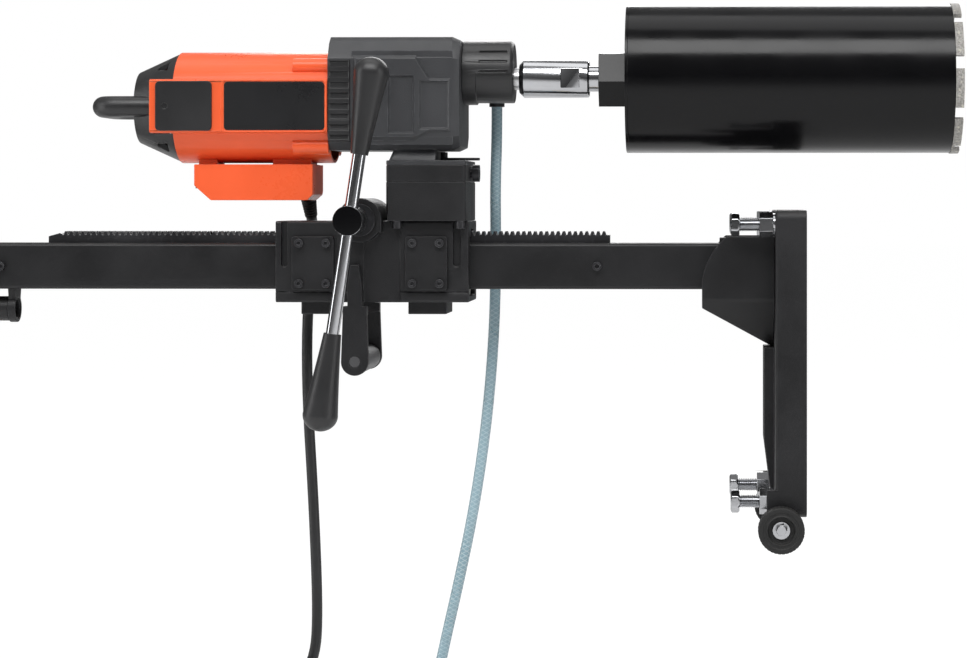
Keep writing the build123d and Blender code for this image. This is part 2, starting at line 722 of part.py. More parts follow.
with BuildPart() as crank_knobs:
    for direction in (-1, 1):
        tip = direction * (bar_half + knob_bore_end)
        start = bar_plane(bar_shift + tip - direction * knob_length, direction)
        knob_plane = Plane(origin=start.origin, x_dir=(0, 1, 0), z_dir=start.z_dir.cross(Vector(0, 1, 0)))
        flip = 1 if knob_plane.y_dir.dot(start.z_dir) > 0 else -1
        with BuildSketch(knob_plane):
            with BuildLine():
                side_end = (knob_large, flip * (knob_length - 17))
                Polyline((0, 0), (knob_small - 1, 0), (knob_small, flip * 1), side_end)
                RadiusArc(side_end, (knob_large - 13.5, flip * knob_length), -flip * 15.5)
                Polyline((knob_large - 13.5, flip * knob_length), (0, flip * knob_length), (0, 0))
            make_face()
        revolve(axis=Axis(start.origin, start.z_dir))
        bore = knob_length - knob_bore_end
        disc(start, bar_radius, bore, mode=Mode.SUBTRACT)
crank_knobs.part.label = "crank_knobs"
export_step(crank_knobs.part, "parts/crank_knobs.step")

# ---- drill: gearbox -------------------------------------------------------------------------------
gearbox_left = motor_front
gearbox_right = -372.0
gearbox_half = 58.0
gearbox_top = 350.0
gearbox_low = 227.0
gearbox_foot = adapter_top
flange_thick = 5.0
gearbox_rear_wall = 14.0
gearbox_front_wall = 14.0
motor_shaft_radius = 6.0
lay_shaft_radius = 5.0
spindle_radius = 12.0
spindle_tail_radius = 10.0
first_module = 1.25
first_pinion_teeth = 10
first_gear_teeth = 36
second_module = 1.75
second_pinion_teeth = 12
second_gear_teeth = 36
first_distance = first_module * (first_pinion_teeth + first_gear_teeth) / 2
second_distance = second_module * (second_pinion_teeth + second_gear_teeth) / 2
# the layshaft lies where both gear pairs reach their centre distance
axis_rise = spindle_z - motor_z
lay_rise = (first_distance**2 - second_distance**2 + axis_rise**2) / (2 * axis_rise)
lay_y = sqrt(first_distance**2 - lay_rise**2)
lay_z = motor_z + lay_rise
front_bearing_radius = 24.0
tail_bearing_radius = 15.5
motor_bearing_radius = 13.0
lay_bearing_radius = 9.0
bearing_length = 9.0
rear_bearing_x = gearbox_left + 2.0
front_bearing_x = gearbox_right - bearing_length - 2.0

with BuildPart() as gearbox_housing:
    section = [
        (-44, gearbox_low), (-gearbox_half, 241), (-gearbox_half, 326), (-46, 343), (-34, gearbox_top),
        (34, gearbox_top), (46, 343), (gearbox_half, 326), (gearbox_half, 241), (44, gearbox_low),
    ]
    outline(plane_x(gearbox_left), section, gearbox_right - gearbox_left)
    # the nose tapers towards the collar
    nose = gearbox_housing.faces().sort_by(Axis.X)[-1].edges()
    chamfer(nose, length=9.0, length2=4.0)
    # foot: a flange on the adapter plate and a flared pedestal
    block(plane_up(gearbox_foot, mount_middle), mount_length, 2 * mount_half, flange_thick, 4.0)
    with BuildSketch(plane_up(gearbox_foot + flange_thick - 1, mount_middle - 8)) as foot_low:
        RectangleRounded(mount_length - 20, 2 * mount_half - 8, 4.0)
    with BuildSketch(plane_up(gearbox_low + 4, mount_middle - 14)) as foot_high:
        RectangleRounded(mount_length - 44, 88.0, 4.0)
    loft(sections=[foot_low.sketch, foot_high.sketch])
    block(plane_up(gearbox_foot + flange_thick, lever_x - lever_room + 40), 80, 140,
          gearbox_low - gearbox_foot - flange_thick, mode=Mode.SUBTRACT)
    # cavity for the gears
    cavity = [
        (-42, gearbox_low + 5), (-53.5, 243), (-53.5, 324), (-42, 340), (-32, gearbox_top - 5),
        (32, gearbox_top - 5), (42, 340), (53.5, 324), (53.5, 243), (42, gearbox_low + 5),
    ]
    cavity_left = gearbox_left + gearbox_rear_wall
    cavity_right = gearbox_right - gearbox_front_wall
    outline(plane_x(cavity_left), cavity, cavity_right - cavity_left, mode=Mode.SUBTRACT)
    # bearing seats and shaft holes
    disc(plane_x(rear_bearing_x, 0, motor_z), motor_bearing_radius, 40, mode=Mode.SUBTRACT)
    disc(plane_x(gearbox_left - 1, 0, motor_z), motor_shaft_radius + 1.5, 60, mode=Mode.SUBTRACT)
    disc(plane_x(rear_bearing_x, lay_y, lay_z), lay_bearing_radius, 40, mode=Mode.SUBTRACT)
    disc(plane_x(rear_bearing_x, 0, spindle_z), tail_bearing_radius, 40, mode=Mode.SUBTRACT)
    disc(plane_x(front_bearing_x, lay_y, lay_z), lay_bearing_radius, -40, mode=Mode.SUBTRACT)
    disc(plane_x(front_bearing_x, lay_y, lay_z), lay_bearing_radius, bearing_length, mode=Mode.SUBTRACT)
    disc(plane_x(front_bearing_x, 0, spindle_z), front_bearing_radius, bearing_length, mode=Mode.SUBTRACT)
    disc(plane_x(front_bearing_x, 0, spindle_z), front_bearing_radius, -20, mode=Mode.SUBTRACT)
    disc(plane_x(front_bearing_x, 0, spindle_z), spindle_radius + 1.5, 60, mode=Mode.SUBTRACT)
    for side in (-1, 1):
        # cooling slots near the motor, and framed fields on each side
        with BuildSketch(plane_front(side * gearbox_half, -497.5, 279.0)):
            with GridLocations(0, 11.0, 1, 6):
                SlotOverall(15.0, 5.5)
        extrude(amount=side * 3.0, mode=Mode.SUBTRACT)
        field_plane = plane_front(side * gearbox_half, -434.3, 283.0)
        block(field_plane, 26.6, 74.0, side * 2.0, 2.0, mode=Mode.SUBTRACT)
        field_plane = plane_front(side * gearbox_half, -399.0, 276.0)
        block(field_plane, 30.0, 50.0, side * 2.0, 2.0, mode=Mode.SUBTRACT)
gearbox_housing.part.label = "gearbox_housing"
export_step(gearbox_housing.part, "parts/gearbox_housing.step")

# ---- drill: water collar, and the elbow that feeds it ---------------------------------------------
collar_z = 312.3
collar_radius = 34.9
collar_right = -316.3
collar_step_x = -357.0
collar_bore = spindle_radius + 1.5
elbow_x = -340.0
elbow_z = 300.0
elbow_radius = 7.0

with BuildPart() as water_collar:
    disc(plane_x(gearbox_right, 0, collar_z), collar_radius, collar_right - gearbox_right)
    chamfer(water_collar.faces().sort_by(Axis.X)[-1].edges(), length=3.0)
    with BuildSketch(plane_x(collar_step_x, 0, collar_z)):
        Circle(collar_radius + 1)
        Circle(collar_radius - 2.0, mode=Mode.SUBTRACT)
        with Locations((0, collar_radius)):
            Rectangle(4 * collar_radius, 2 * collar_radius + 4, mode=Mode.SUBTRACT)
    extrude(amount=60, mode=Mode.SUBTRACT)
    for rise in (-22, -11, 0, 11, 22):
        with BuildSketch(plane_x(collar_step_x + 4, 0, collar_z)):
            Circle(collar_radius + 1)
            Circle(collar_radius - 1.6, mode=Mode.SUBTRACT)
            with Locations((0, rise)):
                Rectangle(3 * collar_radius, 2.4, mode=Mode.INTERSECT)
        extrude(amount=30, mode=Mode.SUBTRACT)
    disc(plane_x(gearbox_right - 1, 0, spindle_z), collar_bore, 80, mode=Mode.SUBTRACT)
    disc(plane_front(80, elbow_x, elbow_z), elbow_radius + running_gap, 60, mode=Mode.SUBTRACT)
water_collar.part.label = "water_collar"
export_step(water_collar.part, "parts/water_collar.step")

elbow_y = 47.0
hose_top_z = 277.0
with BuildPart() as water_elbow:
    disc(plane_front(elbow_y, elbow_x, elbow_z), elbow_radius, elbow_y - 22)
    disc(plane_front(elbow_y, elbow_x, elbow_z), elbow_radius + 2.0, elbow_y - 36)
    with BuildSketch(plane_up(elbow_z, elbow_x, elbow_y)):
        Circle(elbow_radius + 1.5)
    extrude(amount=-(elbow_z - hose_top_z))
    with Locations((elbow_x, elbow_y, elbow_z)):
        Sphere(elbow_radius + 1.5)
water_elbow.part.label = "water_elbow"
export_step(water_elbow.part, "parts/water_elbow.step")

# ---- drill: motor housing, caps, grip, plates -----------------------------------------------------
panel_half = 29.0
panel_face = motor_radius + 0.5
panel_left = -706.0
boss_y = motor_radius - 18.7
boss_z = motor_radius - 17.7
boss_size = 9.0
boss_length = 39.0
brush_x = -658.0
plate_left = -625.0
plate_right = -517.0
rating_thick = 1.2
cone_rear = -728.0
cone_rear_radius = 38.8
rear_wall = 14.0
motor_inner = motor_radius - motor_wall

with BuildPart() as motor_housing:
    disc(plane_x(motor_rear, 0, motor_z), motor_radius, motor_front - motor_rear)
    block(plane_x(panel_left, 0, motor_z), 2 * panel_face, 2 * panel_half, motor_front - panel_left, 4.0)
    for y in (-boss_y, boss_y):
        for z in (-boss_z, boss_z):
            disc(plane_x(motor_front - boss_length, y, motor_z + z), boss_size, boss_length)
    disc(plane_x(motor_rear - 60, 0, motor_z), motor_inner, 300, mode=Mode.SUBTRACT)
    for side in (-1, 1):
        plate_plane = plane_front(side * panel_face, (plate_left + plate_right) / 2, motor_z)
        block(plate_plane, plate_right - plate_left + 0.6, 52.4, side * rating_thick, 4.0, mode=Mode.SUBTRACT)
        disc(plane_front(side * panel_face, brush_x, motor_z), 12.0, side * 30, mode=Mode.SUBTRACT)
motor_housing.part.label = "motor_housing"
export_step(motor_housing.part, "parts/motor_housing.step")

with BuildPart() as rear_cap:
    with BuildSketch(Plane(origin=(0, 0, motor_z), x_dir=(1, 0, 0), z_dir=(0, -1, 0))):
        cone = [
            (motor_rear, motor_radius - 1.0), (cone_rear, cone_rear_radius), (cone_rear, 0),
            (cone_rear + rear_wall, 0), (cone_rear + rear_wall, cone_rear_radius - 5), (motor_rear, motor_inner),
        ]
        with BuildLine():
            Polyline(*cone, close=True)
        make_face()
    revolve(axis=Axis((0, 0, motor_z), (1, 0, 0)))
    disc(plane_x(cone_rear + 4, 0, motor_z), motor_bearing_radius, 40, mode=Mode.SUBTRACT)
    for side in (-1, 1):
        # notches for the tongues of the motor housing, and windows above and below
        with BuildSketch(plane_front(side * (panel_face + 1), (panel_left + motor_rear) / 2, motor_z)):
            Rectangle(motor_rear - panel_left + 0.6, 2 * panel_half + 0.6)
        extrude(amount=side * 30, mode=Mode.SUBTRACT)
        for rise in (-1, 1):
            with BuildSketch(plane_front(side * 70, -697.0, motor_z + rise * 44.0)):
                Rectangle(12.0, 9.0)
            extrude(amount=side * 45, mode=Mode.SUBTRACT)
rear_cap.part.label = "rear_cap"
export_step(rear_cap.part, "parts/rear_cap.step")

grip_bar_radius = 11.5
rear_grip_x = -763.5
rear_grip_half = 40.0
with BuildPart() as rear_grip:
    with BuildLine() as grip_path:
        FilletPolyline(
            (-700, -rear_grip_half, motor_z), (rear_grip_x, -rear_grip_half, motor_z),
            (rear_grip_x, rear_grip_half, motor_z), (-700, rear_grip_half, motor_z), radius=16,
        )
    with BuildSketch(Plane(origin=(-700, -rear_grip_half, motor_z), x_dir=(0, 1, 0), z_dir=(-1, 0, 0))):
        Circle(grip_bar_radius)
    sweep(path=grip_path.wires()[0])
    with BuildSketch(Plane(origin=(0, 0, motor_z), x_dir=(1, 0, 0), z_dir=(0, -1, 0))):
        with BuildLine():
            Polyline(
                (motor_rear, 0), (motor_rear, motor_radius - 1.0 + 0.05), (cone_rear, cone_rear_radius + 0.05),
                (cone_rear, 0), close=True,
            )
        make_face()
    revolve(axis=Axis((0, 0, motor_z), (1, 0, 0)), mode=Mode.SUBTRACT)
    # keep only what lies behind the tongues of the motor housing
    block(plane_x(panel_left - 1.0, 0, motor_z), 200, 200, 60, mode=Mode.SUBTRACT)
rear_grip.part.label = "rear_grip"
export_step(rear_grip.part, "parts/rear_grip.step")

cover_thick = 2.5
with BuildPart() as brush_covers:
    for side in (-1, 1):
        cover_plane = plane_front(side * panel_face, -668.5, motor_z)
        block(cover_plane, 61.0, 53.6, -side * cover_thick, 5.0)
        screw_plane = plane_front(side * (panel_face + cover_thick), -689.0, motor_z)
        disc(screw_plane, 3.2, side * 1.5, mode=Mode.SUBTRACT)
brush_covers.part.label = "brush_covers"
export_step(brush_covers.part, "parts/brush_covers.step")

with BuildPart() as rating_plate:
    for side in (-1, 1):
        plate_plane = plane_front(side * (panel_face - rating_thick), (plate_left + plate_right) / 2, motor_z)
        block(plate_plane, plate_right - plate_left, 51.8, -side * rating_thick, 4.0)
rating_plate.part.label = "rating_plate"
export_step(rating_plate.part, "parts/rating_plate.step")

# ---- drill: switch box, rocker and cord gland -----------------------------------------------------
box_left = -662.0
box_right = -533.0
box_low = 173.0
box_high = 212.0
box_half = 38.0
rocker_z = 195.0
rocker_half = 9.0
rocker_width = 28.0
rocker_proud = 3.5
rocker_deep = 6.0
rocker_pin = 1.5
rocker_x = box_left + 3.0
gland_x = -549.0
gland_length = 30.0
gland_wide = 9.0
gland_start = Vector(gland_x, box_half - 5, box_low + 5)
gland_way = Vector(0, 1, -1).normalized()

with BuildPart() as switch_box:
    side_outline = [
        (box_left, box_high), (box_left, box_low + 16), (box_left + 18, box_low), (box_right - 6, box_low),
        (box_right, box_low + 6), (box_right, box_high),
    ]
    outline(plane_front(box_half), side_outline, 2 * box_half)
    edge = switch_box.edges().filter_by(Axis.X).group_by(Axis.Z)[0].sort_by(Axis.Y)[-1]
    chamfer(edge, length=10.0)
    block(plane_up(box_high - 1, -558), 42.0, 44.0, 16.0)
    block(plane_up(box_high - 1, -650), 20.0, 44.0, 16.0)
    disc(plane_x(box_left - 20, 0, motor_z), motor_radius, 200, mode=Mode.SUBTRACT)
    block(plane_x(box_left - 1, 0, rocker_z), rocker_width + 4, 2 * rocker_half + 4, 12.0, 2.0, mode=Mode.SUBTRACT)
    pin_span = rocker_width + 8
    disc(plane_front(pin_span / 2, rocker_x, rocker_z), rocker_pin + running_gap, pin_span, mode=Mode.SUBTRACT)
switch_box.part.label = "switch_box"
export_step(switch_box.part, "parts/switch_box.step")

with BuildPart() as power_switch:
    rocker = [
        (box_left - rocker_proud, rocker_z + rocker_half), (box_left - 1.0, rocker_z),
        (box_left - rocker_proud, rocker_z - rocker_half), (box_left + rocker_deep, rocker_z - rocker_half + 2),
        (box_left + rocker_deep, rocker_z + rocker_half - 2),
    ]
    outline(plane_front(rocker_width / 2), rocker, rocker_width)
    disc(plane_front(pin_span / 2 - 0.5, rocker_x, rocker_z), rocker_pin, pin_span - 1.0)
power_switch.part.label = "power_switch"
export_step(power_switch.part, "parts/power_switch.step")

with BuildPart() as cord_gland:
    gland_plane = Plane(origin=gland_start, x_dir=(1, 0, 0), z_dir=gland_way)
    with BuildSketch(gland_plane) as gland_wide_end:
        Circle(gland_wide)
    with BuildSketch(gland_plane.offset(gland_length)) as gland_narrow_end:
        Circle(mains_diameter / 2 + 1.2)
    loft(sections=[gland_wide_end.sketch, gland_narrow_end.sketch])
cord_gland.part.label = "cord_gland"
export_step(cord_gland.part, "parts/cord_gland.step")

# ---- drill: clamp lever on the adapter ----------------------------------------------------------
lever_low = adapter_top + flange_thick + loose_gap
lever_thick = 3.0
with BuildPart() as clamp_lever:
    with BuildSketch(plane_up(lever_low, lever_x + 17.5, lever_y)):
        SlotOverall(43.0, 8.0)
    extrude(amount=lever_thick)
    disc(plane_up(lever_low + lever_thick, lever_x, lever_y), 3.9, 6.0)
clamp_lever.part.label = "clamp_lever"
export_step(clamp_lever.part, "parts/clamp_lever.step")

# ---- drill: what turns inside ---------------------------------------------------------------------
stator_left = -632.0
stator_right = -560.0
core_radius = 30.3
fan_x = -548.0
fan_radius = 46.0
commutator_left = -670.0
first_gear_x = gearbox_left + gearbox_rear_wall + 4.0
first_gear_width = 12.0
second_gear_x = first_gear_x + first_gear_width + 6.0
second_gear_width = 18.0
armature_rear = cone_rear + 4.5

with BuildPart() as stator:
    with BuildSketch(plane_x(stator_left, 0, motor_z)):
        Circle(motor_inner - loose_gap)
        Circle(core_radius + 0.7, mode=Mode.SUBTRACT)
    extrude(amount=stator_right - stator_left)
stator.part.label = "stator"
export_step(stator.part, "parts/stator.step")

brush_reach = sqrt(motor_inner**2 - 6.5**2) - 0.2
with BuildPart() as carbon_brushes:
    for side in (-1, 1):
        block(plane_front(side * 15.4, brush_x, motor_z), 8.0, 6.0, -side * 22.0)
        holder = plane_front(side * 20.0, brush_x, motor_z)
        with BuildSketch(holder):
            Rectangle(13.0, 12.0)
            Rectangle(8.4, 6.4, mode=Mode.SUBTRACT)
        extrude(amount=-side * (brush_reach - 20.0))
        block(plane_front(side * (brush_reach - 3.0), brush_x, motor_z), 8.4, 6.4, -side * 3.0)
carbon_brushes.part.label = "carbon_brushes"
export_step(carbon_brushes.part, "parts/carbon_brushes.step")


def bearing(x, y, z, bore, outer):
    """Ball bearing as a plain ring between its seat and its shaft."""
    with BuildSketch(plane_x(x, y, z)) as ring:
        Circle(outer)
        Circle(bore + running_gap, mode=Mode.SUBTRACT)
    extrude(ring.sketch, amount=bearing_length)


with BuildPart() as shaft_bearings:
    bearing(cone_rear + 4, 0, motor_z, motor_shaft_radius, motor_bearing_radius)
    bearing(rear_bearing_x, 0, motor_z, motor_shaft_radius, motor_bearing_radius)
    bearing(rear_bearing_x, lay_y, lay_z, lay_shaft_radius, lay_bearing_radius)
    bearing(front_bearing_x, lay_y, lay_z, lay_shaft_radius, lay_bearing_radius)
    bearing(rear_bearing_x, 0, spindle_z, spindle_tail_radius, tail_bearing_radius)
    bearing(front_bearing_x, 0, spindle_z, spindle_radius, front_bearing_radius)
shaft_bearings.part.label = "shaft_bearings"
export_step(shaft_bearings.part, "parts/shaft_bearings.step")

# the direction from the motor shaft to the layshaft, and from the layshaft to the spindle
first_angle = degrees(atan2(lay_rise, lay_y))
second_angle = degrees(atan2(spindle_z - lay_z, -lay_y))
first_gap_turn = first_angle + 180 + 180 / first_gear_teeth
second_gap_turn = second_angle + 180 + 180 / second_gear_teeth

with BuildPart() as armature:
    disc(plane_x(armature_rear, 0, motor_z), motor_shaft_radius, first_gear_x - 1 - armature_rear)
    disc(plane_x(stator_left - 2, 0, motor_z), core_radius, stator_right - stator_left + 4)
    disc(plane_x(commutator_left, 0, motor_z), 15.0, 24.0)
    disc(plane_x(fan_x, 0, motor_z), fan_radius, 2.5)
    with BuildSketch(plane_x(fan_x + 2.5, 0, motor_z)):
        with PolarLocations(31.0, 12):
            Rectangle(26.0, 2.0)
    extrude(amount=9.0)
    disc(plane_x(fan_x, 0, motor_z), 11.0, 14.0)
    pinion_outline = gear_points(first_module, first_pinion_teeth, 0.9 * first_module, first_angle)
    outline(plane_x(first_gear_x - 1, 0, motor_z), pinion_outline, first_gear_width + 2)
armature.part.label = "armature"
export_step(armature.part, "parts/armature.step")

with BuildPart() as layshaft:
    lay_start = rear_bearing_x + 0.5
    disc(plane_x(lay_start, lay_y, lay_z), lay_shaft_radius, front_bearing_x + bearing_length - 0.5 - lay_start)
    gear_outline = gear_points(first_module, first_gear_teeth, 0.9 * first_module, first_gap_turn)
    outline(plane_x(first_gear_x, lay_y, lay_z), gear_outline, first_gear_width)
    pinion_outline = gear_points(second_module, second_pinion_teeth, 0.9 * second_module, second_angle)
    outline(plane_x(second_gear_x - 1, lay_y, lay_z), pinion_outline, second_gear_width + 2)
layshaft.part.label = "layshaft"
export_step(layshaft.part, "parts/layshaft.step")

nose_radius = 10.0
nose_length = 24.0
coupling_left = -311.0
with BuildPart() as spindle:
    tail = rear_bearing_x + 0.5
    tail_end = second_gear_x - 2
    disc(plane_x(tail, 0, spindle_z), spindle_tail_radius, tail_end - tail)
    disc(plane_x(tail_end, 0, spindle_z), spindle_radius, coupling_left - tail_end)
    disc(plane_x(coupling_left, 0, spindle_z), nose_radius, nose_length)
    gear_outline = gear_points(second_module, second_gear_teeth, 0.9 * second_module, second_gap_turn)
    outline(plane_x(second_gear_x, 0, spindle_z), gear_outline, second_gear_width)
spindle.part.label = "spindle"
export_step(spindle.part, "parts/spindle.step")

# ---- drill bit ----------------------------------------------------------------------------------
coupling_right = -234.5
coupling_radius = 20.6
neck_radius = 14.0
hub_left = -223.6
hub_right = -193.5
hub_flats = 57.7

with BuildPart() as bit_adapter:
    disc(plane_x(coupling_left, 0, spindle_z), coupling_radius, coupling_right - coupling_left)
    ends = bit_adapter.edges().filter_by(GeomType.CIRCLE).sort_by(Axis.X)
    chamfer(ends[0], length=5.0)
    chamfer(ends[-1], length=1.5)
    for side in (-1, 1):
        flat = plane_front(side * (coupling_radius + 1), -255.0, spindle_z)
        block(flat, 20.0, 60.0, side * 4.0, mode=Mode.SUBTRACT)
    disc(plane_x(coupling_right, 0, spindle_z), neck_radius, hub_left - coupling_right)
    disc(plane_x(coupling_left - 1, 0, spindle_z), nose_radius + running_gap, nose_length + 1.5,
         mode=Mode.SUBTRACT)
bit_adapter.part.label = "bit_adapter"
export_step(bit_adapter.part, "parts/bit_adapter.step")

with BuildPart() as bit_hub:
    hexagon(plane_x(hub_left, 0, spindle_z), hub_flats, hub_right - hub_left, turn=8)
    disc(plane_x(hub_right, 0, spindle_z), bit_radius, bit_rear - hub_right)
bit_hub.part.label = "bit_hub"
export_step(bit_hub.part, "parts/bit_hub.step")

with BuildPart() as bit_barrel:
    with BuildSketch(plane_x(bit_rear, 0, spindle_z)):
        Circle(bit_radius)
        Circle(bit_radius - bit_wall, mode=Mode.SUBTRACT)
    extrude(amount=bit_front - bit_rear)
bit_barrel.part.label = "bit_barrel"
export_step(bit_barrel.part, "parts/bit_barrel.step")

segment_pitch = 360 / segment_count
segment_turn = 90 + segment_pitch / 2 - segment_arc / 2
with BuildPart() as bit_segments:
    for step in range(segment_count):
        with BuildSketch(plane_x(bit_front, 0, spindle_z)):
            with BuildLine():
                outer_radius = bit_radius + segment_side
                inner_radius = bit_radius - bit_wall - segment_side
                first = segment_turn + step * segment_pitch
                outer_arc = CenterArc((0, 0), outer_radius, first, segment_arc)
                inner_arc = CenterArc((0, 0), inner_radius, first, segment_arc)
                Line(outer_arc @ 0, inner_arc @ 0)
                Line(outer_arc @ 1, inner_arc @ 1)
            make_face()
        extrude(amount=segment_length)
bit_segments.part.label = "bit_segments"
export_step(bit_segments.part, "parts/bit_segments.step")

# ---- cords ----------------------------------------------------------------------------------------
mains_exit = gland_start + gland_way * gland_length
mains_start = mains_exit + gland_way * 18.0
mains_points = [
    (mains_exit.X, mains_exit.Y, mains_exit.Z),
    (mains_start.X, mains_start.Y, mains_start.Z),
    (-550.2, 76.3, 124.5),
    (-552.6, 83.2, 95.0),
    (-558.6, 86.0, 42.0),
    (-558.2, 83.5, -45.0),
    (-552.0, 84.5, -150.0),
    (-547.6, 83.0, -240.0),
    (-546.6, 85.0, -300.0),
    (-549.0, 86.5, -338.0),
    (-560.0, 88.5, -364.0),
    (-580.0, 90.0, -384.5),
    (-606.0, 91.0, floor_z + 6.4),
    (-634.0, 90.0, floor_z + 6.0),
]
hose_points = [
    (elbow_x, elbow_y, hose_top_z),
    (elbow_x, elbow_y, 240.0),
    (-342.4, 53.0, 190.0),
    (-342.0, 58.0, 110.0),
    (-344.0, 58.5, 20.0),
    (-352.6, 58.0, -80.0),
    (-367.0, 59.0, -175.0),
    (-384.0, 58.0, -256.0),
    (-396.0, 58.0, -308.0),
    (-403.5, 55.0, -344.0),
    (-409.0, 43.0, -369.0),
    (-412.5, 23.0, -387.0),
    (-414.0, -3.0, floor_z + 6.4),
    (-413.0, -32.0, floor_z + 6.0),
]


def check_cord(name, tube, points, diameter):
    """Print a cord's arcs, and its volume against its section times its length."""
    radii = corner_radii(points)
    print(name, "arc radii", [round(value) for value in radii])
    path_length = tube.volume / (pi * diameter**2 / 4)
    straight = sum((Vector(*b) - Vector(*a)).length for a, b in zip(points, points[1:]))
    for value, before, here, after in zip(radii, points, points[1:], points[2:]):
        turn = radians((Vector(*here) - Vector(*before)).get_angle(Vector(*after) - Vector(*here)))
        straight += value * turn - 2 * value * tan(turn / 2)
    print(name, "length by volume", round(path_length, 1), "by route", round(straight, 1))


with BuildPart() as mains_cord:
    with BuildLine() as mains_path:
        FilletPolyline(*mains_points, radius=corner_radii(mains_points))
    with BuildSketch(Plane(origin=mains_path.line @ 0, z_dir=mains_path.line % 0)):
        Circle(mains_diameter / 2)
    sweep(path=mains_path.wires()[0])
mains_cord.part.label = "mains_cord"
export_step(mains_cord.part, "parts/mains_cord.step")
check_cord("mains_cord", mains_cord.part, mains_points, mains_diameter)

with BuildPart() as water_hose:
    with BuildLine() as hose_path:
        FilletPolyline(*hose_points, radius=corner_radii(hose_points))
    with BuildSketch(Plane(origin=hose_path.line @ 0, z_dir=hose_path.line % 0)):
        Circle(hose_diameter / 2)
    sweep(path=hose_path.wires()[0])
water_hose.part.label = "water_hose"
export_step(water_hose.part, "parts/water_hose.step")
check_cord("water_hose", water_hose.part, hose_points, hose_diameter)

# ---- put-away coils on the ground, with their ties and end fittings --------------------------------
coil_radius = 65.0
coil_layers = 2
tie_thick = 1.5
tie_width = 14.0
tie_gap = 0.8
coil_low = floor_z + tie_thick + 0.2


def coil_reach(rows, diameter):
    """Distance from a coil's centre to the cord that lies along its outside."""
    return coil_radius + (rows + 1) * diameter / 2 + slide_gap


mains_coil_rows = 3
hose_coil_rows = 2
mains_coil_centre = (mains_points[-1][0], mains_points[-1][1] - coil_reach(mains_coil_rows, mains_diameter))
hose_coil_centre = (hose_points[-1][0] + coil_reach(hose_coil_rows, hose_diameter), hose_points[-1][1])
coils = (
    ("mains_coil", "mains_tie", mains_coil_centre, mains_diameter, mains_coil_rows, 160.0),
    ("hose_coil", "hose_tie", hose_coil_centre, hose_diameter, hose_coil_rows, 20.0),
)

for coil_name, tie_name, centre, diameter, rows, tie_turn in coils:
    half_rows = rows * diameter / 2
    height = coil_layers * diameter
    with BuildPart() as coil:
        with BuildSketch(plane_up(coil_low, *centre)):
            Circle(coil_radius + half_rows)
            Circle(coil_radius - half_rows, mode=Mode.SUBTRACT)
        extrude(amount=height)
        fillet(coil.edges().filter_by(GeomType.CIRCLE), radius=diameter * 0.45)
    coil.part.label = coil_name
    export_step(coil.part, f"parts/{coil_name}.step")
    outward = Vector(cos(radians(tie_turn)), sin(radians(tie_turn)), 0)
    along = Vector(-outward.Y, outward.X, 0)
    tie_origin = Vector(centre[0], centre[1], coil_low + height / 2) + outward * coil_radius
    with BuildPart() as tie:
        with BuildSketch(Plane(origin=tie_origin - along * tie_width / 2, x_dir=outward, z_dir=along)):
            RectangleRounded(2 * (half_rows + tie_gap + tie_thick), height + 2 * tie_thick + 0.3, 6.0)
            RectangleRounded(2 * (half_rows + tie_gap), height + 0.3, 4.5, mode=Mode.SUBTRACT)
        extrude(amount=tie_width)
    tie.part.label = tie_name
    export_step(tie.part, f"parts/{tie_name}.step")

tail_radius = 6.6


def tail_plane(centre, rows, diameter, z):
    """Plane where a cord's last turn comes clear of its coil, on the -Y side, facing +X."""
    turn_radius = coil_radius + (rows - 1) * diameter / 2
    clear_radius = coil_radius + rows * diameter / 2 + loose_gap
    start = sqrt(clear_radius**2 - (turn_radius - tail_radius)**2)
    return plane_x(centre[0] + start, centre[1] - turn_radius, z)


def taper(plane, start_radius, end_radius, length):
    """Round taper from a plane, along its normal."""
    with BuildSketch(plane) as start_profile:
        Circle(start_radius)
    with BuildSketch(plane.offset(length)) as end_profile:
        Circle(end_radius)
    loft(sections=[start_profile.sketch, end_profile.sketch])


plug_taper = 18.0
plug_length = 34.0
plug_radius = 18.0
plug_pin_radius = 2.4
plug_pin_length = 19.0
with BuildPart() as mains_plug:
    plug_plane = tail_plane(mains_coil_centre, mains_coil_rows, mains_diameter, floor_z + plug_radius)
    taper(plug_plane, tail_radius, plug_radius, plug_taper)
    disc(plug_plane.offset(plug_taper), plug_radius, plug_length)
    with BuildSketch(plug_plane.offset(plug_taper + plug_length)):
        with GridLocations(19.0, 0, 2, 1):
            Circle(plug_pin_radius)
    extrude(amount=plug_pin_length)
mains_plug.part.label = "mains_plug"
export_step(mains_plug.part, "parts/mains_plug.step")

connector_taper = 10.0
connector_length = 36.0
connector_radius = 13.0
connector_bore = 6.0
connector_depth = 12.0
with BuildPart() as hose_connector:
    connector_plane = tail_plane(hose_coil_centre, hose_coil_rows, hose_diameter, floor_z + connector_radius)
    taper(connector_plane, tail_radius, connector_radius, connector_taper)
    disc(connector_plane.offset(connector_taper), connector_radius, connector_length)
    connector_end = connector_plane.offset(connector_taper + connector_length)
    disc(connector_end, connector_bore, -connector_depth, mode=Mode.SUBTRACT)
hose_connector.part.label = "hose_connector"
export_step(hose_connector.part, "parts/hose_connector.step")
print("hose connector mouth", connector_end.origin)
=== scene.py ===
"""Core drill rig on its wall stand: finishes, rounded edges, fine pieces, cords, stage and light."""

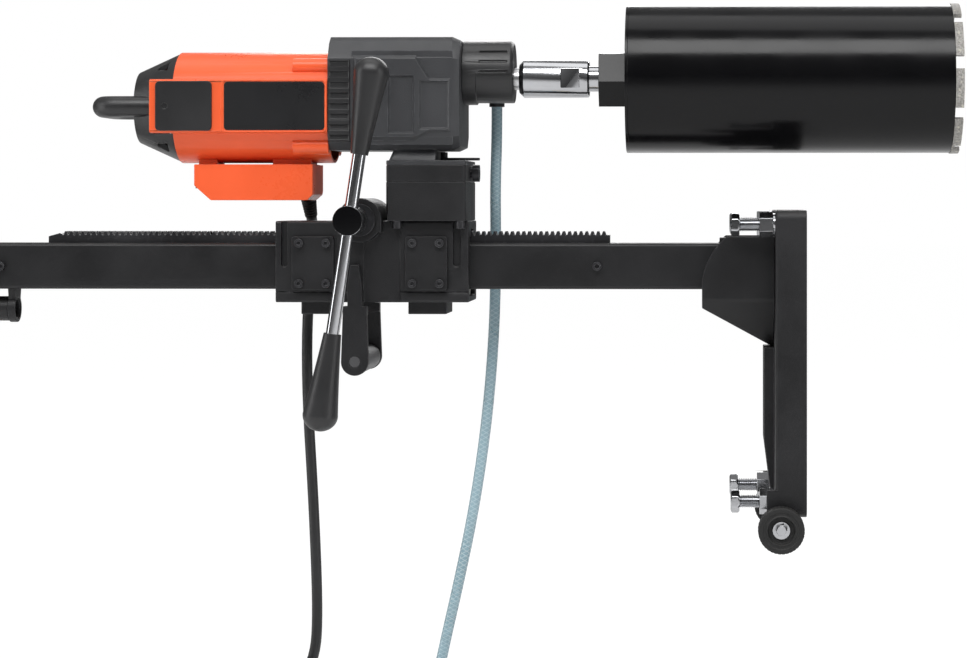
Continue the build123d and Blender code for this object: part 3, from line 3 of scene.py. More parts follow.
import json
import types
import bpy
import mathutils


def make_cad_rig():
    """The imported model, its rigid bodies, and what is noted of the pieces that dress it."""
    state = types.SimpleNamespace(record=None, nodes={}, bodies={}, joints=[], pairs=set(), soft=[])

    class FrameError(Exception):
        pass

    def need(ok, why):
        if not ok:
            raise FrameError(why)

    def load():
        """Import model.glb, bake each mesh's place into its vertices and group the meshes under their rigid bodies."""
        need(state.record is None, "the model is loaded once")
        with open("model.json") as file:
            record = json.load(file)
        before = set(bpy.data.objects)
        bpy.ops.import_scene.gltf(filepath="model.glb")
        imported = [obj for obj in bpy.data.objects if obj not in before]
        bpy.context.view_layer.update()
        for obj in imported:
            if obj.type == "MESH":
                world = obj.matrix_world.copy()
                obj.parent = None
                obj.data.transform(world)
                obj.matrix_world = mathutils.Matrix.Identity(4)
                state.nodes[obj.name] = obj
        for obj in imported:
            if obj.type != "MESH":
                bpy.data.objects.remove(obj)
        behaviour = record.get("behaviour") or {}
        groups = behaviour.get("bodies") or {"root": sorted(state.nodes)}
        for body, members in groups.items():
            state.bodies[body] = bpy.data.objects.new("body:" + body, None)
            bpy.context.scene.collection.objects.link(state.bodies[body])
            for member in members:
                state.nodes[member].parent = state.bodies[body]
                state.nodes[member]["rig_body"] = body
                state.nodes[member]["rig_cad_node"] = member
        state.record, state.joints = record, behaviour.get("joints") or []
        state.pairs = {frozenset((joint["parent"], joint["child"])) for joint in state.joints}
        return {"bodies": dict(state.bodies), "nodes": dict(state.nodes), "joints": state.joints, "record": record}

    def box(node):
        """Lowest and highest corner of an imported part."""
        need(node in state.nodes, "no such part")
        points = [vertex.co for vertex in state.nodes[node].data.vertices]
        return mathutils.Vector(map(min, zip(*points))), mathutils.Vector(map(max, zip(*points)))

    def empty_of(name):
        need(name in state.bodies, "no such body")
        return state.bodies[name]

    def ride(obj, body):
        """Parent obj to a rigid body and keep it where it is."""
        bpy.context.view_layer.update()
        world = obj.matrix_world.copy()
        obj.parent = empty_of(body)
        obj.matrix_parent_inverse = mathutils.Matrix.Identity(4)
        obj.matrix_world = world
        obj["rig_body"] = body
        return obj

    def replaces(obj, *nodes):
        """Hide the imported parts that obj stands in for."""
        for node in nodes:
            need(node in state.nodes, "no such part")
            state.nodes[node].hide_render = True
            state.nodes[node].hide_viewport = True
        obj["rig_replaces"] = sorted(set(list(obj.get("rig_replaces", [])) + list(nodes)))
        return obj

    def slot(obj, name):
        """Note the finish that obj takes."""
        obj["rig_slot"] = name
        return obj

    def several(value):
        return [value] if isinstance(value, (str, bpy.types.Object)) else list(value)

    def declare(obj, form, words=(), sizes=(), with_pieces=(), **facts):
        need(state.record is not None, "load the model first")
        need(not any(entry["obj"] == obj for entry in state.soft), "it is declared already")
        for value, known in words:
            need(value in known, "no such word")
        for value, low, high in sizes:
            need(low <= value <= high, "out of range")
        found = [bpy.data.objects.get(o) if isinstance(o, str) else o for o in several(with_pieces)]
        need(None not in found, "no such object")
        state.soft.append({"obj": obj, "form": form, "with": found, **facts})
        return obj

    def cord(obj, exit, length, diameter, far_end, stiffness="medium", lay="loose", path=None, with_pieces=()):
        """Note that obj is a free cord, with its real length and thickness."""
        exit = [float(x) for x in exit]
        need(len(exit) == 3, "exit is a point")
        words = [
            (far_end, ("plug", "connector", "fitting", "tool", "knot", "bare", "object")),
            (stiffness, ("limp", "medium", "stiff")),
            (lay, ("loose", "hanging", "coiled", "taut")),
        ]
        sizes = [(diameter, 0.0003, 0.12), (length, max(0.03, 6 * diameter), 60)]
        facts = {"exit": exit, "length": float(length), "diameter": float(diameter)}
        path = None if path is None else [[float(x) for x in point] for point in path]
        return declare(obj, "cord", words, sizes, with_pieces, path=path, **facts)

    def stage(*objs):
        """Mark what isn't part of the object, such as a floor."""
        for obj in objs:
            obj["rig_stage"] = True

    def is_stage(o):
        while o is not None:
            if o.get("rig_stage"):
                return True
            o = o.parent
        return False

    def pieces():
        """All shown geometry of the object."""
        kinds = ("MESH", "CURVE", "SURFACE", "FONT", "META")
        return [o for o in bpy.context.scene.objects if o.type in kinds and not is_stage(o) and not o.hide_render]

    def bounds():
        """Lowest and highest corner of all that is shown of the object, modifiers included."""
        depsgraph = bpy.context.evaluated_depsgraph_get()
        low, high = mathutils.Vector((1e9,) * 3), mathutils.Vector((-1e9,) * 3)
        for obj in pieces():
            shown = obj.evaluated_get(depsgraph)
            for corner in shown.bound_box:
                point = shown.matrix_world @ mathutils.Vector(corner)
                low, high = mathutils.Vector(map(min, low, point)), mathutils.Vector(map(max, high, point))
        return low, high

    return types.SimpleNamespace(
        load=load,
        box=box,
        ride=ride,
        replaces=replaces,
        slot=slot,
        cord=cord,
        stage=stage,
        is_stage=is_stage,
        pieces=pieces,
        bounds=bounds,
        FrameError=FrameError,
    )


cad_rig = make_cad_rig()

bl_info = {
    "name": "Core Drill Rig Looks",
    "version": (1, 0, 0),
    "blender": (4, 5, 0),
    "location": "View3D > Sidebar > Drill Rig",
    "description": "Builds the finishes and fine pieces of a core drill rig on its packed frame",
    "category": "Object",
}

import json
import math

import bmesh
import bpy
import numpy as np
from bpy.props import FloatProperty, FloatVectorProperty, IntProperty, PointerProperty
from bpy.types import Operator, Panel, PropertyGroup
from mathutils import Vector

for leftover in list(bpy.data.objects):
    bpy.data.objects.remove(leftover)
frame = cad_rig.load()
cad_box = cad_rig.bounds()
nodes = frame["nodes"]
finishes = {}
node_slots = {name: cad.material_slots[0].material.name for name, cad in nodes.items()}

SIZE_FILE = "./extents.json"
MM = 0.001
JOIN_GAP = 1e-7
CAD_JOIN_GAP = 2e-6
FLAT_ANGLE = math.radians(0.6)
SMOOTH_ANGLE = math.radians(40.0)
KNOB_SMOOTH_ANGLE = math.radians(50.0)
# Millimetres: the smallest radius where a turned piece closes.
POLE = 0.01

SENSOR_WIDTH = 36.0
BACK_SHARE = 0.4
FLOOR_GLOW = 1.1
GLOW_SHARE = 0.88
FLOOR_GAP = 0.0002

# Width and break-up of the edge mask, which places both worn edges and a painted edge highlight.
WEAR_AND_HIGHLIGHT_WIDTH = 0.0012
WEAR_AND_HIGHLIGHT_BREAKS = 90.0
DUST_SCALE = 60.0
WHITE = (1.0, 1.0, 1.0, 1.0)
DUST_COLOUR = (0.42, 0.40, 0.37)
SCRATCH_SHARE = 0.2
SCRATCH_LIGHTER = 2.5


# ---- settings -------------------------------------------------------------------------------------
class StageSettings(PropertyGroup):
    """Camera, floor and light."""

    camera_place: FloatVectorProperty(
        name="Camera place", description="Where the camera stands", default=(-0.101, -2.8, 0.173),
        unit="LENGTH")
    lens: FloatProperty(name="Lens", description="Focal length in millimetres", default=95.18, min=10.0)
    turn: FloatProperty(
        name="Turn", description="Turn to the left", default=math.radians(1.2), subtype="ANGLE")
    shift_side: FloatProperty(name="Side shift", description="Sideways lens shift", default=-0.1802)
    shift_up: FloatProperty(name="Upward shift", description="Upward lens shift", default=-0.1331)
    floor_size: FloatProperty(name="Floor size", description="Side of the floor", default=60.0, unit="LENGTH")
    floor_colour: FloatVectorProperty(
        name="Floor colour", description="Colour of the plain floor", default=(0.9, 0.9, 0.9),
        subtype="COLOR")
    key_power: FloatProperty(
        name="Key power", description="Power of the large soft light", default=100.0, unit="POWER")
    strip_power: FloatProperty(
        name="Strip power", description="Power of each tall strip light", default=16.0, unit="POWER")
    top_power: FloatProperty(
        name="Top power", description="Power of the overhead light", default=14.0, unit="POWER")
    sky_light: FloatProperty(
        name="Sky light", description="Strength of the even light all round", default=0.16)


class EdgeSettings(PropertyGroup):
    """How far the edges of each kind of piece are rounded."""

    casting: FloatProperty(
        name="Casting edge", description="Rounding of cast pieces", default=0.0009, unit="LENGTH")
    plate: FloatProperty(
        name="Plate edge", description="Rounding of plate pieces", default=0.0006, unit="LENGTH")
    plastic: FloatProperty(
        name="Plastic edge", description="Rounding of moulded pieces", default=0.0008, unit="LENGTH")
    small: FloatProperty(
        name="Small edge", description="Rounding of screws and turned pieces", default=0.0004, unit="LENGTH")
    fine: FloatProperty(name="Fine edge", description="Rounding of teeth and thin plates", default=0.00025,
                        unit="LENGTH")
    crease: FloatProperty(name="Crease angle", description="Corners sharper than this are rounded",
                          default=math.radians(32.0), subtype="ANGLE")
    steps: IntProperty(name="Steps", description="Faces across each rounded edge", default=2, min=1)


class FinishSettings(PropertyGroup):
    """Colours and strengths of the finishes."""

    coat: FloatVectorProperty(
        name="Powder coat", description="Satin black coat", default=(0.011, 0.011, 0.012), subtype="COLOR")
    gear: FloatVectorProperty(
        name="Gearbox coat", description="Dark grey coat of the gearbox", default=(0.030, 0.031, 0.034),
        subtype="COLOR")
    orange: FloatVectorProperty(
        name="Housing orange", description="Moulded orange", default=(0.79, 0.108, 0.032), subtype="COLOR")
    hose: FloatVectorProperty(
        name="Hose blue", description="Pale blue of the hose wall", default=(0.30, 0.46, 0.53),
        subtype="COLOR")
    # Strength of the lighter edge colour: partly rubbed coat, partly a painted edge highlight.
    wear: FloatProperty(name="Edge wear", description="How much the coat is rubbed on edges", default=0.35,
                        subtype="FACTOR", min=0.0, max=1.0)
    dust: FloatProperty(name="Dust", description="How much fine dust lies on upper faces", default=0.05,
                        subtype="FACTOR", min=0.0, max=1.0)


class CordSettings(PropertyGroup):
    """The mains cord and the water hose."""

    diameter: FloatProperty(
        name="Diameter", description="Of the cord and the hose", default=0.012, unit="LENGTH")
    points_per_turn: IntProperty(name="Points per turn", description="Of each coil", default=36, min=12)
    mains_length: FloatProperty(name="Mains length", description="Length of the mains cord", default=2.85,
                                unit="LENGTH")
    hose_length: FloatProperty(name="Hose length", description="Length of the water hose", default=2.05,
                               unit="LENGTH")


class PieceSettings(PropertyGroup):
    """Sizes of the fine pieces."""

    thread_pitch: FloatProperty(name="Thread pitch", description="Of the levelling screws", default=0.002,
                                unit="LENGTH")
    thread_depth: FloatProperty(name="Thread depth", description="Of the levelling screws", default=0.0011,
                                unit="LENGTH")
    tread_blocks: IntProperty(name="Tread grooves", description="Round each wheel", default=36, min=3)
    tread_depth: FloatProperty(name="Tread depth", description="Of the grooves in each wheel", default=0.0006,
                               unit="LENGTH")
    rib_count: IntProperty(name="Sleeve ribs", description="On the strain relief", default=7, min=2)


# ---- surfaces ----------------------------------------------------------------------------------------
def orient(mesh):
    """Joins doubled points and turns every face outwards."""
    work = bmesh.new()
    work.from_mesh(mesh)
    bmesh.ops.remove_doubles(work, verts=work.verts, dist=JOIN_GAP)
    bmesh.ops.recalc_face_normals(work, faces=work.faces)
    work.to_mesh(mesh)
    work.free()


def joined(name, meshes):
    """Several meshes as one, smooth all over."""
    work = bmesh.new()
    for mesh in meshes:
        work.from_mesh(mesh)
    whole = bpy.data.meshes.new(name)
    work.to_mesh(whole)
    work.free()
    whole.shade_smooth()
    return whole


def skin(name, rows, ring=False):
    """A skin over a grid of points. Each row is a closed loop. Row i is joined to row i + 1 with faces of four
    corners, and the last row is joined to the first (ring) or both end rows are closed with one face each."""
    rows = np.asarray(rows, dtype=np.float64)
    count, around = rows.shape[:2]
    index = np.arange(count * around).reshape(count, around)
    beside = np.roll(index, -1, axis=1)
    above = np.roll(index, -1, axis=0)
    corner = np.roll(above, -1, axis=1)
    last = count if ring else count - 1
    quads = np.stack([index[:last], beside[:last], corner[:last], above[:last]], axis=-1).reshape(-1, 4)
    faces = quads.tolist()
    if not ring:
        faces += [index[0][::-1].tolist(), index[-1].tolist()]
    mesh = bpy.data.meshes.new(name)
    mesh.from_pydata(rows.reshape(-1, 3).tolist(), [], faces)
    orient(mesh)
    mesh.shade_smooth()
    mesh.set_sharp_from_angle(angle=SMOOTH_ANGLE)
    return mesh


def rounded(points, radii, steps=6, closed=False):
    """Corners of a flat line rounded. Each corner P with neighbours A and B becomes the curve
    (1 - t)^2 P_a + 2 t (1 - t) P + t^2 P_b, where P_a and P_b lie the given radius from P towards A and B."""
    points = np.asarray(points, dtype=np.float64)
    before = np.roll(points, 1, axis=0)
    after = np.roll(points, -1, axis=0)
    radii = np.broadcast_to(np.asarray(radii, dtype=np.float64), (len(points),)).copy()
    if not closed:
        radii[[0, -1]] = 0.0
    back = before - points
    on = after - points
    back_length = np.linalg.norm(back, axis=1)
    on_length = np.linalg.norm(on, axis=1)
    reach = np.minimum(radii, 0.49 * np.minimum(back_length, on_length))
    start = points + back / back_length[:, None] * reach[:, None]
    end = points + on / on_length[:, None] * reach[:, None]
    t = np.linspace(0.0, 1.0, steps)[None, :, None]
    curve = (1 - t) ** 2 * start[:, None] + 2 * t * (1 - t) * points[:, None] + t**2 * end[:, None]
    return curve.reshape(-1, 2)


def across(direction):
    """Two unit directions square to the given one and to each other."""
    direction = np.asarray(direction, dtype=np.float64)
    direction = direction / np.linalg.norm(direction)
    helper = np.array((0.0, 0.0, 1.0)) if abs(direction[2]) < 0.9 else np.array((1.0, 0.0, 0.0))
    first = np.cross(helper, direction)
    first /= np.linalg.norm(first)
    return direction, first, np.cross(direction, first)


def turned(along, radius, start, direction, around=64):
    """Rings round an axis: a point is start + direction * along + radius * (first * cos a + second * sin a),
    where radius may change along the axis and round it. Distances are in millimetres."""
    direction, first, second = across(direction)
    angle = np.linspace(0.0, 2.0 * np.pi, around, endpoint=False)
    spoke = first * np.cos(angle)[:, None] + second * np.sin(angle)[:, None]
    along = np.asarray(along, dtype=np.float64)
    radius = np.asarray(radius, dtype=np.float64)
    if radius.ndim == 1:
        radius = np.repeat(radius[:, None], around, axis=1)
    rows = np.asarray(start) + along[:, None, None] * direction + radius[..., None] * spoke[None]
    return rows * MM


def lathe(line, start, direction, around):
    """Rings from a line of (along, radius) points in millimetres. The ends keep a tiny radius, never zero."""
    return turned(line[:, 0], np.maximum(line[:, 1], POLE), start, direction, around)


def hexagon_radius(flats, around):
    """Distance from the middle to a hexagon's side at each angle: half the flats over the cosine of the angle
    from the middle of the nearest side."""
    angle = np.linspace(0.0, 2.0 * np.pi, around, endpoint=False)
    return flats / 2 / np.cos((angle + np.pi / 6) % (np.pi / 3) - np.pi / 6)


def new_piece(name, data, body, slot):
    """A piece on a body, with the finish of a slot."""
    piece = bpy.data.objects.new(name, data)
    bpy.context.scene.collection.objects.link(piece)
    data.materials.clear()
    data.materials.append(finishes[slot])
    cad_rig.ride(piece, body)
    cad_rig.slot(piece, slot)
    return piece


def soften(cad, width, name=None):
    """Stands for a CAD piece: triangles joined, flat faces merged, and sharp edges rounded by width."""
    settings = bpy.context.scene.rig_edges
    name = name or cad + "_rounded"
    source = nodes[cad]
    mesh = bpy.data.meshes.new(name)
    work = bmesh.new()
    work.from_mesh(source.data)
    bmesh.ops.remove_doubles(work, verts=work.verts, dist=CAD_JOIN_GAP)
    bmesh.ops.dissolve_limit(work, angle_limit=FLAT_ANGLE, verts=work.verts, edges=work.edges)
    work.to_mesh(mesh)
    work.free()
    mesh.shade_smooth()
    piece = new_piece(name, mesh, source["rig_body"], node_slots[cad])
    mesh.set_sharp_from_angle(angle=settings.crease)
    bevel = piece.modifiers.new("Rounded edges", "BEVEL")
    bevel.width = width
    bevel.segments = settings.steps
    bevel.limit_method = "ANGLE"
    bevel.angle_limit = settings.crease
    bevel.use_clamp_overlap = False
    bevel.harden_normals = True
    bevel.miter_outer = "MITER_ARC"
    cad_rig.replaces(piece, cad)
    return piece


def soften_all(**widths):
    """Rounds several CAD pieces, each by its own width."""
    for cad, width in widths.items():
        soften(cad, width)


# ---- shader groups -----------------------------------------------------------------------------------
def node(tree, kind, values=None, **settings):
    """Adds a shader node with its settings and the values of its sockets."""
    new = tree.nodes.new(kind)
    for key, value in settings.items():
        setattr(new, key, value)
    for key, value in (values or {}).items():
        if isinstance(value, bpy.types.NodeSocket):
            tree.links.new(value, new.inputs[key])
        else:
            new.inputs[key].default_value = value
    return new


def sums(tree, operation, first, second):
    """Two numbers put together by a sum such as ADD or MULTIPLY."""
    return node(tree, "ShaderNodeMath", {0: first, 1: second}, operation=operation).outputs[0]


def ramp(tree, value, low, high, bottom=0.0, top=1.0):
    """A value between low and high, stretched to lie between bottom and top."""
    return node(tree, "ShaderNodeMapRange", {0: value, 1: low, 2: high, 3: bottom, 4: top}).outputs[0]


def noise(tree, place, scale, detail):
    """Soft noise at a place."""
    soft = node(tree, "ShaderNodeTexNoise", {"Vector": place, "Scale": scale, "Detail": detail})
    return soft.outputs["Fac"]


def start_group(name, vectors, floats, outputs):
    """An empty shader group with named inputs of two kinds and plain number outputs."""
    tree = bpy.data.node_groups.new(name, "ShaderNodeTree")
    for label in vectors:
        tree.interface.new_socket(label, in_out="INPUT", socket_type="NodeSocketVector")
    for label in floats:
        tree.interface.new_socket(label, in_out="INPUT", socket_type="NodeSocketFloat")
    for label in outputs:
        tree.interface.new_socket(label, in_out="OUTPUT", socket_type="NodeSocketFloat")
    given = tree.nodes.new("NodeGroupInput")
    return tree, given.outputs, tree.nodes.new("NodeGroupOutput").inputs


def grain_group():
    """Fine grain as a height, and slow patches as a mask."""
    tree, given, out = start_group(
        "Grain and patches", ["Vector"], ["Scale", "Patch Scale"], ["Height", "Patches"])
    fine = noise(tree, given["Vector"], given["Scale"], 3.0)
    pits = node(tree, "ShaderNodeTexVoronoi", {"Vector": given["Vector"], "Scale": given["Scale"]})
    slow = noise(tree, given["Vector"], given["Patch Scale"], 4.0)
    tree.links.new(sums(tree, "ADD", fine, pits.outputs["Distance"]), out["Height"])
    tree.links.new(ramp(tree, slow, 0.35, 0.65), out["Patches"])


def wear_and_highlight_group():
    """A mask of sharp edges, broken up by noise: how far a rounded copy's normal leaves the true normal.
    The finishes use it to place both worn edges and a painted edge highlight.
    """
    tree, given, out = start_group("Edge wear", ["Vector"], ["Width", "Break Scale"], ["Mask"])
    soft = node(tree, "ShaderNodeBevel", {"Radius": given["Width"]}, samples=4)
    true_normal = node(tree, "ShaderNodeNewGeometry")
    agree = node(tree, "ShaderNodeVectorMath", {0: soft.outputs[0], 1: true_normal.outputs["Normal"]},
                 operation="DOT_PRODUCT")
    edge = ramp(tree, agree.outputs["Value"], 0.995, 0.86)
    broken = ramp(tree, noise(tree, given["Vector"], given["Break Scale"], 5.0), 0.38, 0.62)
    tree.links.new(sums(tree, "MULTIPLY", edge, broken), out["Mask"])


def dust_group():
    """A mask of faces that look up, with soft noise in it."""
    tree, given, out = start_group("Settled dust", ["Vector"], ["Scale"], ["Mask"])
    place = node(tree, "ShaderNodeTexCoord")
    split = node(tree, "ShaderNodeSeparateXYZ", {0: place.outputs["Normal"]})
    upward = ramp(tree, split.outputs["Z"], 0.3, 1.0)
    clumps = ramp(tree, noise(tree, given["Vector"], given["Scale"], 6.0), 0.3, 0.7)
    tree.links.new(sums(tree, "MULTIPLY", upward, clumps), out["Mask"])


def scratch_group():
    """Long fine lines: noise stretched along one direction and cut to its narrow ridges."""
    tree, given, out = start_group("Fine scratches", ["Vector", "Stretch"], ["Scale"], ["Mask", "Lines"])
    stretched = node(tree, "ShaderNodeVectorMath", {0: given["Vector"], 1: given["Stretch"]},
                     operation="MULTIPLY")
    lines = noise(tree, stretched.outputs[0], given["Scale"], 4.0)
    tree.links.new(ramp(tree, lines, 0.58, 0.68), out["Mask"])
    tree.links.new(lines, out["Lines"])


def braid_group():
    """Threads wound both ways round a hose: waves of along + around and along - around, the higher kept."""
    tree, given, out = start_group("Braid", ["Vector", "Place"], ["Along", "Around", "Rise"], ["Threads"])
    split = node(tree, "ShaderNodeSeparateXYZ", {0: given["Vector"]})
    height = node(tree, "ShaderNodeSeparateXYZ", {0: given["Place"]})
    down = sums(tree, "MULTIPLY", height.outputs["Z"], given["Rise"])
    wound = sums(tree, "MULTIPLY", split.outputs["X"], given["Along"])
    along = sums(tree, "SUBTRACT", wound, down)
    around = sums(tree, "MULTIPLY", split.outputs["Y"], given["Around"])
    first = sums(tree, "PINGPONG", sums(tree, "ADD", along, around), 1.0)
    second = sums(tree, "PINGPONG", sums(tree, "SUBTRACT", along, around), 1.0)
    tree.links.new(ramp(tree, sums(tree, "MAXIMUM", first, second), 0.72, 0.95), out["Threads"])


def mix_colour(tree, mask, first, second, amount=1.0):
    """One colour over another by a mask times an amount."""
    if amount != 1.0:
        mask = sums(tree, "MULTIPLY", mask, amount)
    mix = tree.nodes.new("ShaderNodeMix")
    mix.data_type = "RGBA"
    tree.links.new(mask, mix.inputs["Factor"])
    for socket, colour in ((mix.inputs[6], first), (mix.inputs[7], second)):
        if isinstance(colour, bpy.types.NodeSocket):
            tree.links.new(colour, socket)
        else:
            socket.default_value = (*colour, 1.0)
    return mix.outputs[2]


def lighter(colour, amount):
    """A colour made lighter or darker by a factor."""
    return tuple(min(1.0, part * amount) for part in colour)


def placed_group(tree, name, place, values):
    """A shader group placed in a material, with its own values."""
    group = node(tree, "ShaderNodeGroup", {"Vector": place, **values}, node_tree=bpy.data.node_groups[name])
    return group.outputs


def finish(slot, colour, rough, grain, bump, patch=14.0, vary=1.25, wear=None, wear_and_highlight_amount=0.0, dust=0.0,
           scratch=None, scratch_amount=0.0, metal=0.0, specular=0.5, bump_depth=0.0004,
           stretch=(1.0, 1.0, 1.0)):
    """A finish for a slot: two tones in patches, a lighter edge colour that is partly wear and partly a painted
    edge highlight, scratches and dust over them, a roughness that follows the patches and scratches, and the fine
    grain as a bump."""
    material = bpy.data.materials.new("finish_" + slot)
    material.use_nodes = True
    tree = material.node_tree
    tree.nodes.clear()
    out = node(tree, "ShaderNodeOutputMaterial")
    shader = node(tree, "ShaderNodeBsdfPrincipled", {"Metallic": metal, "Specular IOR Level": specular})
    tree.links.new(shader.outputs[0], out.inputs["Surface"])
    place = node(tree, "ShaderNodeTexCoord").outputs["Object"]
    surface = placed_group(tree, "Grain and patches", place, {"Scale": grain, "Patch Scale": patch})
    result = mix_colour(tree, surface["Patches"], lighter(colour, 1.0 / vary), lighter(colour, vary))
    rubbed = placed_group(tree, "Fine scratches", place, {"Scale": grain * SCRATCH_SHARE, "Stretch": stretch})
    if scratch_amount:
        line = scratch or lighter(colour, SCRATCH_LIGHTER)
        result = mix_colour(tree, rubbed["Mask"], result, line, scratch_amount)
    # Lighter colour along sharp edges: rubbed coat and a painted edge highlight.
    if wear_and_highlight_amount:
        edge = placed_group(tree, "Edge wear", place, {"Width": WEAR_AND_HIGHLIGHT_WIDTH, "Break Scale": WEAR_AND_HIGHLIGHT_BREAKS})
        result = mix_colour(tree, edge["Mask"], result, wear, wear_and_highlight_amount)
    if dust:
        settled = placed_group(tree, "Settled dust", place, {"Scale": DUST_SCALE})
        result = mix_colour(tree, settled["Mask"], result, DUST_COLOUR, dust)
    tree.links.new(result, shader.inputs["Base Color"])
    blend = sums(tree, "ADD", surface["Patches"], rubbed["Lines"])
    tree.links.new(ramp(tree, blend, 0.4, 1.4, rough[0], rough[1]), shader.inputs["Roughness"])
    relief = node(tree, "ShaderNodeBump",
                  {"Height": surface["Height"], "Strength": bump, "Distance": bump_depth})
    tree.links.new(relief.outputs[0], shader.inputs["Normal"])
    finishes[slot] = material
    return tree, shader, relief, result


class RIG_OT_finishes(Operator):
    """Makes the shader groups and one finish for each slot"""

    bl_idname = "rig.finishes"
    bl_label = "Finishes"

    def execute(self, context):
        settings = context.scene.rig_finishes
        grain_group()
        wear_and_highlight_group()
        dust_group()
        scratch_group()
        braid_group()
        self.coats(settings)
        self.metals(settings.wear)
        self.mouldings(settings)
        self.hose(tuple(settings.hose))
        self.cord_sheath()
        for name, cad in nodes.items():
            for place in cad.material_slots:
                place.material = finishes[node_slots[name]]
        return {"FINISHED"}

    def coats(self, settings):
        """Powder coat on steel and castings, and the paint of the bit."""
        coat = tuple(settings.coat)
        wear = settings.wear
        dust = settings.dust
        finish("coated_steel", coat, rough=(0.36, 0.48), grain=1500.0, bump=0.14, specular=0.32,
               wear=(0.16, 0.16, 0.17), wear_and_highlight_amount=wear, dust=dust, scratch_amount=0.10)
        finish("coated_casting", lighter(coat, 1.12), rough=(0.38, 0.52), grain=1100.0, bump=0.22,
               specular=0.32, wear=(0.17, 0.17, 0.18), wear_and_highlight_amount=wear, dust=dust, scratch_amount=0.08,
               bump_depth=0.0005)
        # The light grey edge colour of the gearbox coat is a painted edge highlight.
        finish("gear_casting", tuple(settings.gear), rough=(0.38, 0.50), grain=1000.0, bump=0.22,
               wear=(0.30, 0.30, 0.32), wear_and_highlight_amount=wear, dust=dust * 0.6, vary=1.12, bump_depth=0.0005)
        finish("bit_paint", (0.0025, 0.0025, 0.003), rough=(0.14, 0.22), grain=500.0, bump=0.04, vary=1.1,
               specular=0.22, wear=(0.10, 0.10, 0.10), wear_and_highlight_amount=wear * 0.5, scratch_amount=0.04,
               stretch=(0.3, 1.0, 1.0))

    def metals(self, wear):
        """Bare and plated metals, brass, carbon and the sintered segments."""
        finish("dark_steel", (0.035, 0.035, 0.038), rough=(0.28, 0.42), grain=900.0, bump=0.12,
               wear=(0.32, 0.32, 0.33), wear_and_highlight_amount=wear, metal=0.6, scratch_amount=0.2)
        finish("bright_steel", (0.44, 0.445, 0.46), rough=(0.06, 0.17), grain=1400.0, bump=0.03, vary=1.05,
               metal=1.0, scratch=(0.36, 0.36, 0.375), scratch_amount=0.25, stretch=(0.2, 1.0, 1.0),
               bump_depth=0.0002)
        finish("plain_steel", (0.60, 0.60, 0.61), rough=(0.20, 0.36), grain=1600.0, bump=0.08, vary=1.1,
               metal=1.0, scratch_amount=0.2, stretch=(6.0, 0.4, 0.4), bump_depth=0.0002)
        finish("bush_brass", (0.68, 0.48, 0.20), rough=(0.20, 0.32), grain=1400.0, bump=0.06, vary=1.08,
               metal=1.0, scratch_amount=0.2, stretch=(5.0, 0.5, 0.5), bump_depth=0.0002)
        finish("segment_metal", (0.30, 0.29, 0.275), rough=(0.42, 0.62), grain=1300.0, bump=0.75,
               patch=600.0, vary=1.5, metal=0.7, scratch=(0.75, 0.72, 0.6), scratch_amount=0.5,
               bump_depth=0.0006)
        finish("carbon", (0.03, 0.03, 0.03), rough=(0.5, 0.6), grain=1200.0, bump=0.2)

    def mouldings(self, settings):
        """Plastics, rubber, the blank plate and the sleeve."""
        wear = settings.wear
        dust = settings.dust
        finish("black_plastic", (0.013, 0.013, 0.014), rough=(0.34, 0.44), grain=1700.0, bump=0.18, vary=1.15,
               dust=dust * 0.5, wear=(0.06, 0.06, 0.06), wear_and_highlight_amount=wear * 0.6, bump_depth=0.0003)
        finish("pad_plastic", (0.72, 0.70, 0.65), rough=(0.35, 0.5), grain=900.0, bump=0.06, vary=1.05)
        finish("grey_sleeve", (0.055, 0.055, 0.058), rough=(0.42, 0.55), grain=1300.0, bump=0.25, vary=1.12,
               dust=dust)
        finish("black_rubber", (0.016, 0.016, 0.016), rough=(0.55, 0.72), grain=1200.0, bump=0.25, vary=1.25,
               dust=dust, specular=0.35)
        # The pale salmon edge colour of the orange housing is a painted edge highlight.
        finish("orange_plastic", tuple(settings.orange), rough=(0.26, 0.36), grain=1500.0, bump=0.10,
               vary=1.04, wear=(0.95, 0.30, 0.14), wear_and_highlight_amount=wear, specular=0.35, bump_depth=0.0002)
        finish("blank_plate", (0.010, 0.010, 0.011), rough=(0.22, 0.32), grain=1400.0, bump=0.05, vary=1.1,
               wear=(0.10, 0.10, 0.10), wear_and_highlight_amount=wear * 0.5)

    def hose(self, colour):
        """Pale clear wall with a lighter braid in it."""
        tree, shader, relief, result = finish(
            "hose_plastic", colour, rough=(0.24, 0.34), grain=700.0, bump=0.25, vary=1.08)
        along = node(tree, "ShaderNodeUVMap").outputs[0]
        place = node(tree, "ShaderNodeTexCoord").outputs["Object"]
        braid = placed_group(
            tree, "Braid", along, {"Place": place, "Along": 560.0, "Around": 8.0, "Rise": 330.0})
        mixed = mix_colour(tree, braid["Threads"], result, (0.60, 0.72, 0.76), 0.75)
        tree.links.new(mixed, shader.inputs["Base Color"])
        tree.links.new(braid["Threads"], relief.inputs["Height"])
        shader.inputs["Transmission Weight"].default_value = 0.22
        shader.inputs["Coat Weight"].default_value = 0.4
        shader.inputs["Coat Roughness"].default_value = 0.1

    def cord_sheath(self):
        """Rubber sheath of the mains cord, with faint rings from its making."""
        tree, shader, relief, result = finish(
            "cord_sheath", (0.014, 0.014, 0.015), rough=(0.36, 0.48), grain=900.0, bump=0.12, vary=1.2,
            specular=0.45)
        along = node(tree, "ShaderNodeUVMap").outputs[0]
        waves = node(tree, "ShaderNodeTexWave", {"Vector": along, "Scale": 260.0, "Distortion": 1.5})
        second = node(tree, "ShaderNodeBump", {"Height": waves.outputs["Fac"], "Normal": relief.outputs[0],
                                               "Strength": 0.05, "Distance": 0.0003})
        tree.links.new(second.outputs[0], shader.inputs["Normal"])


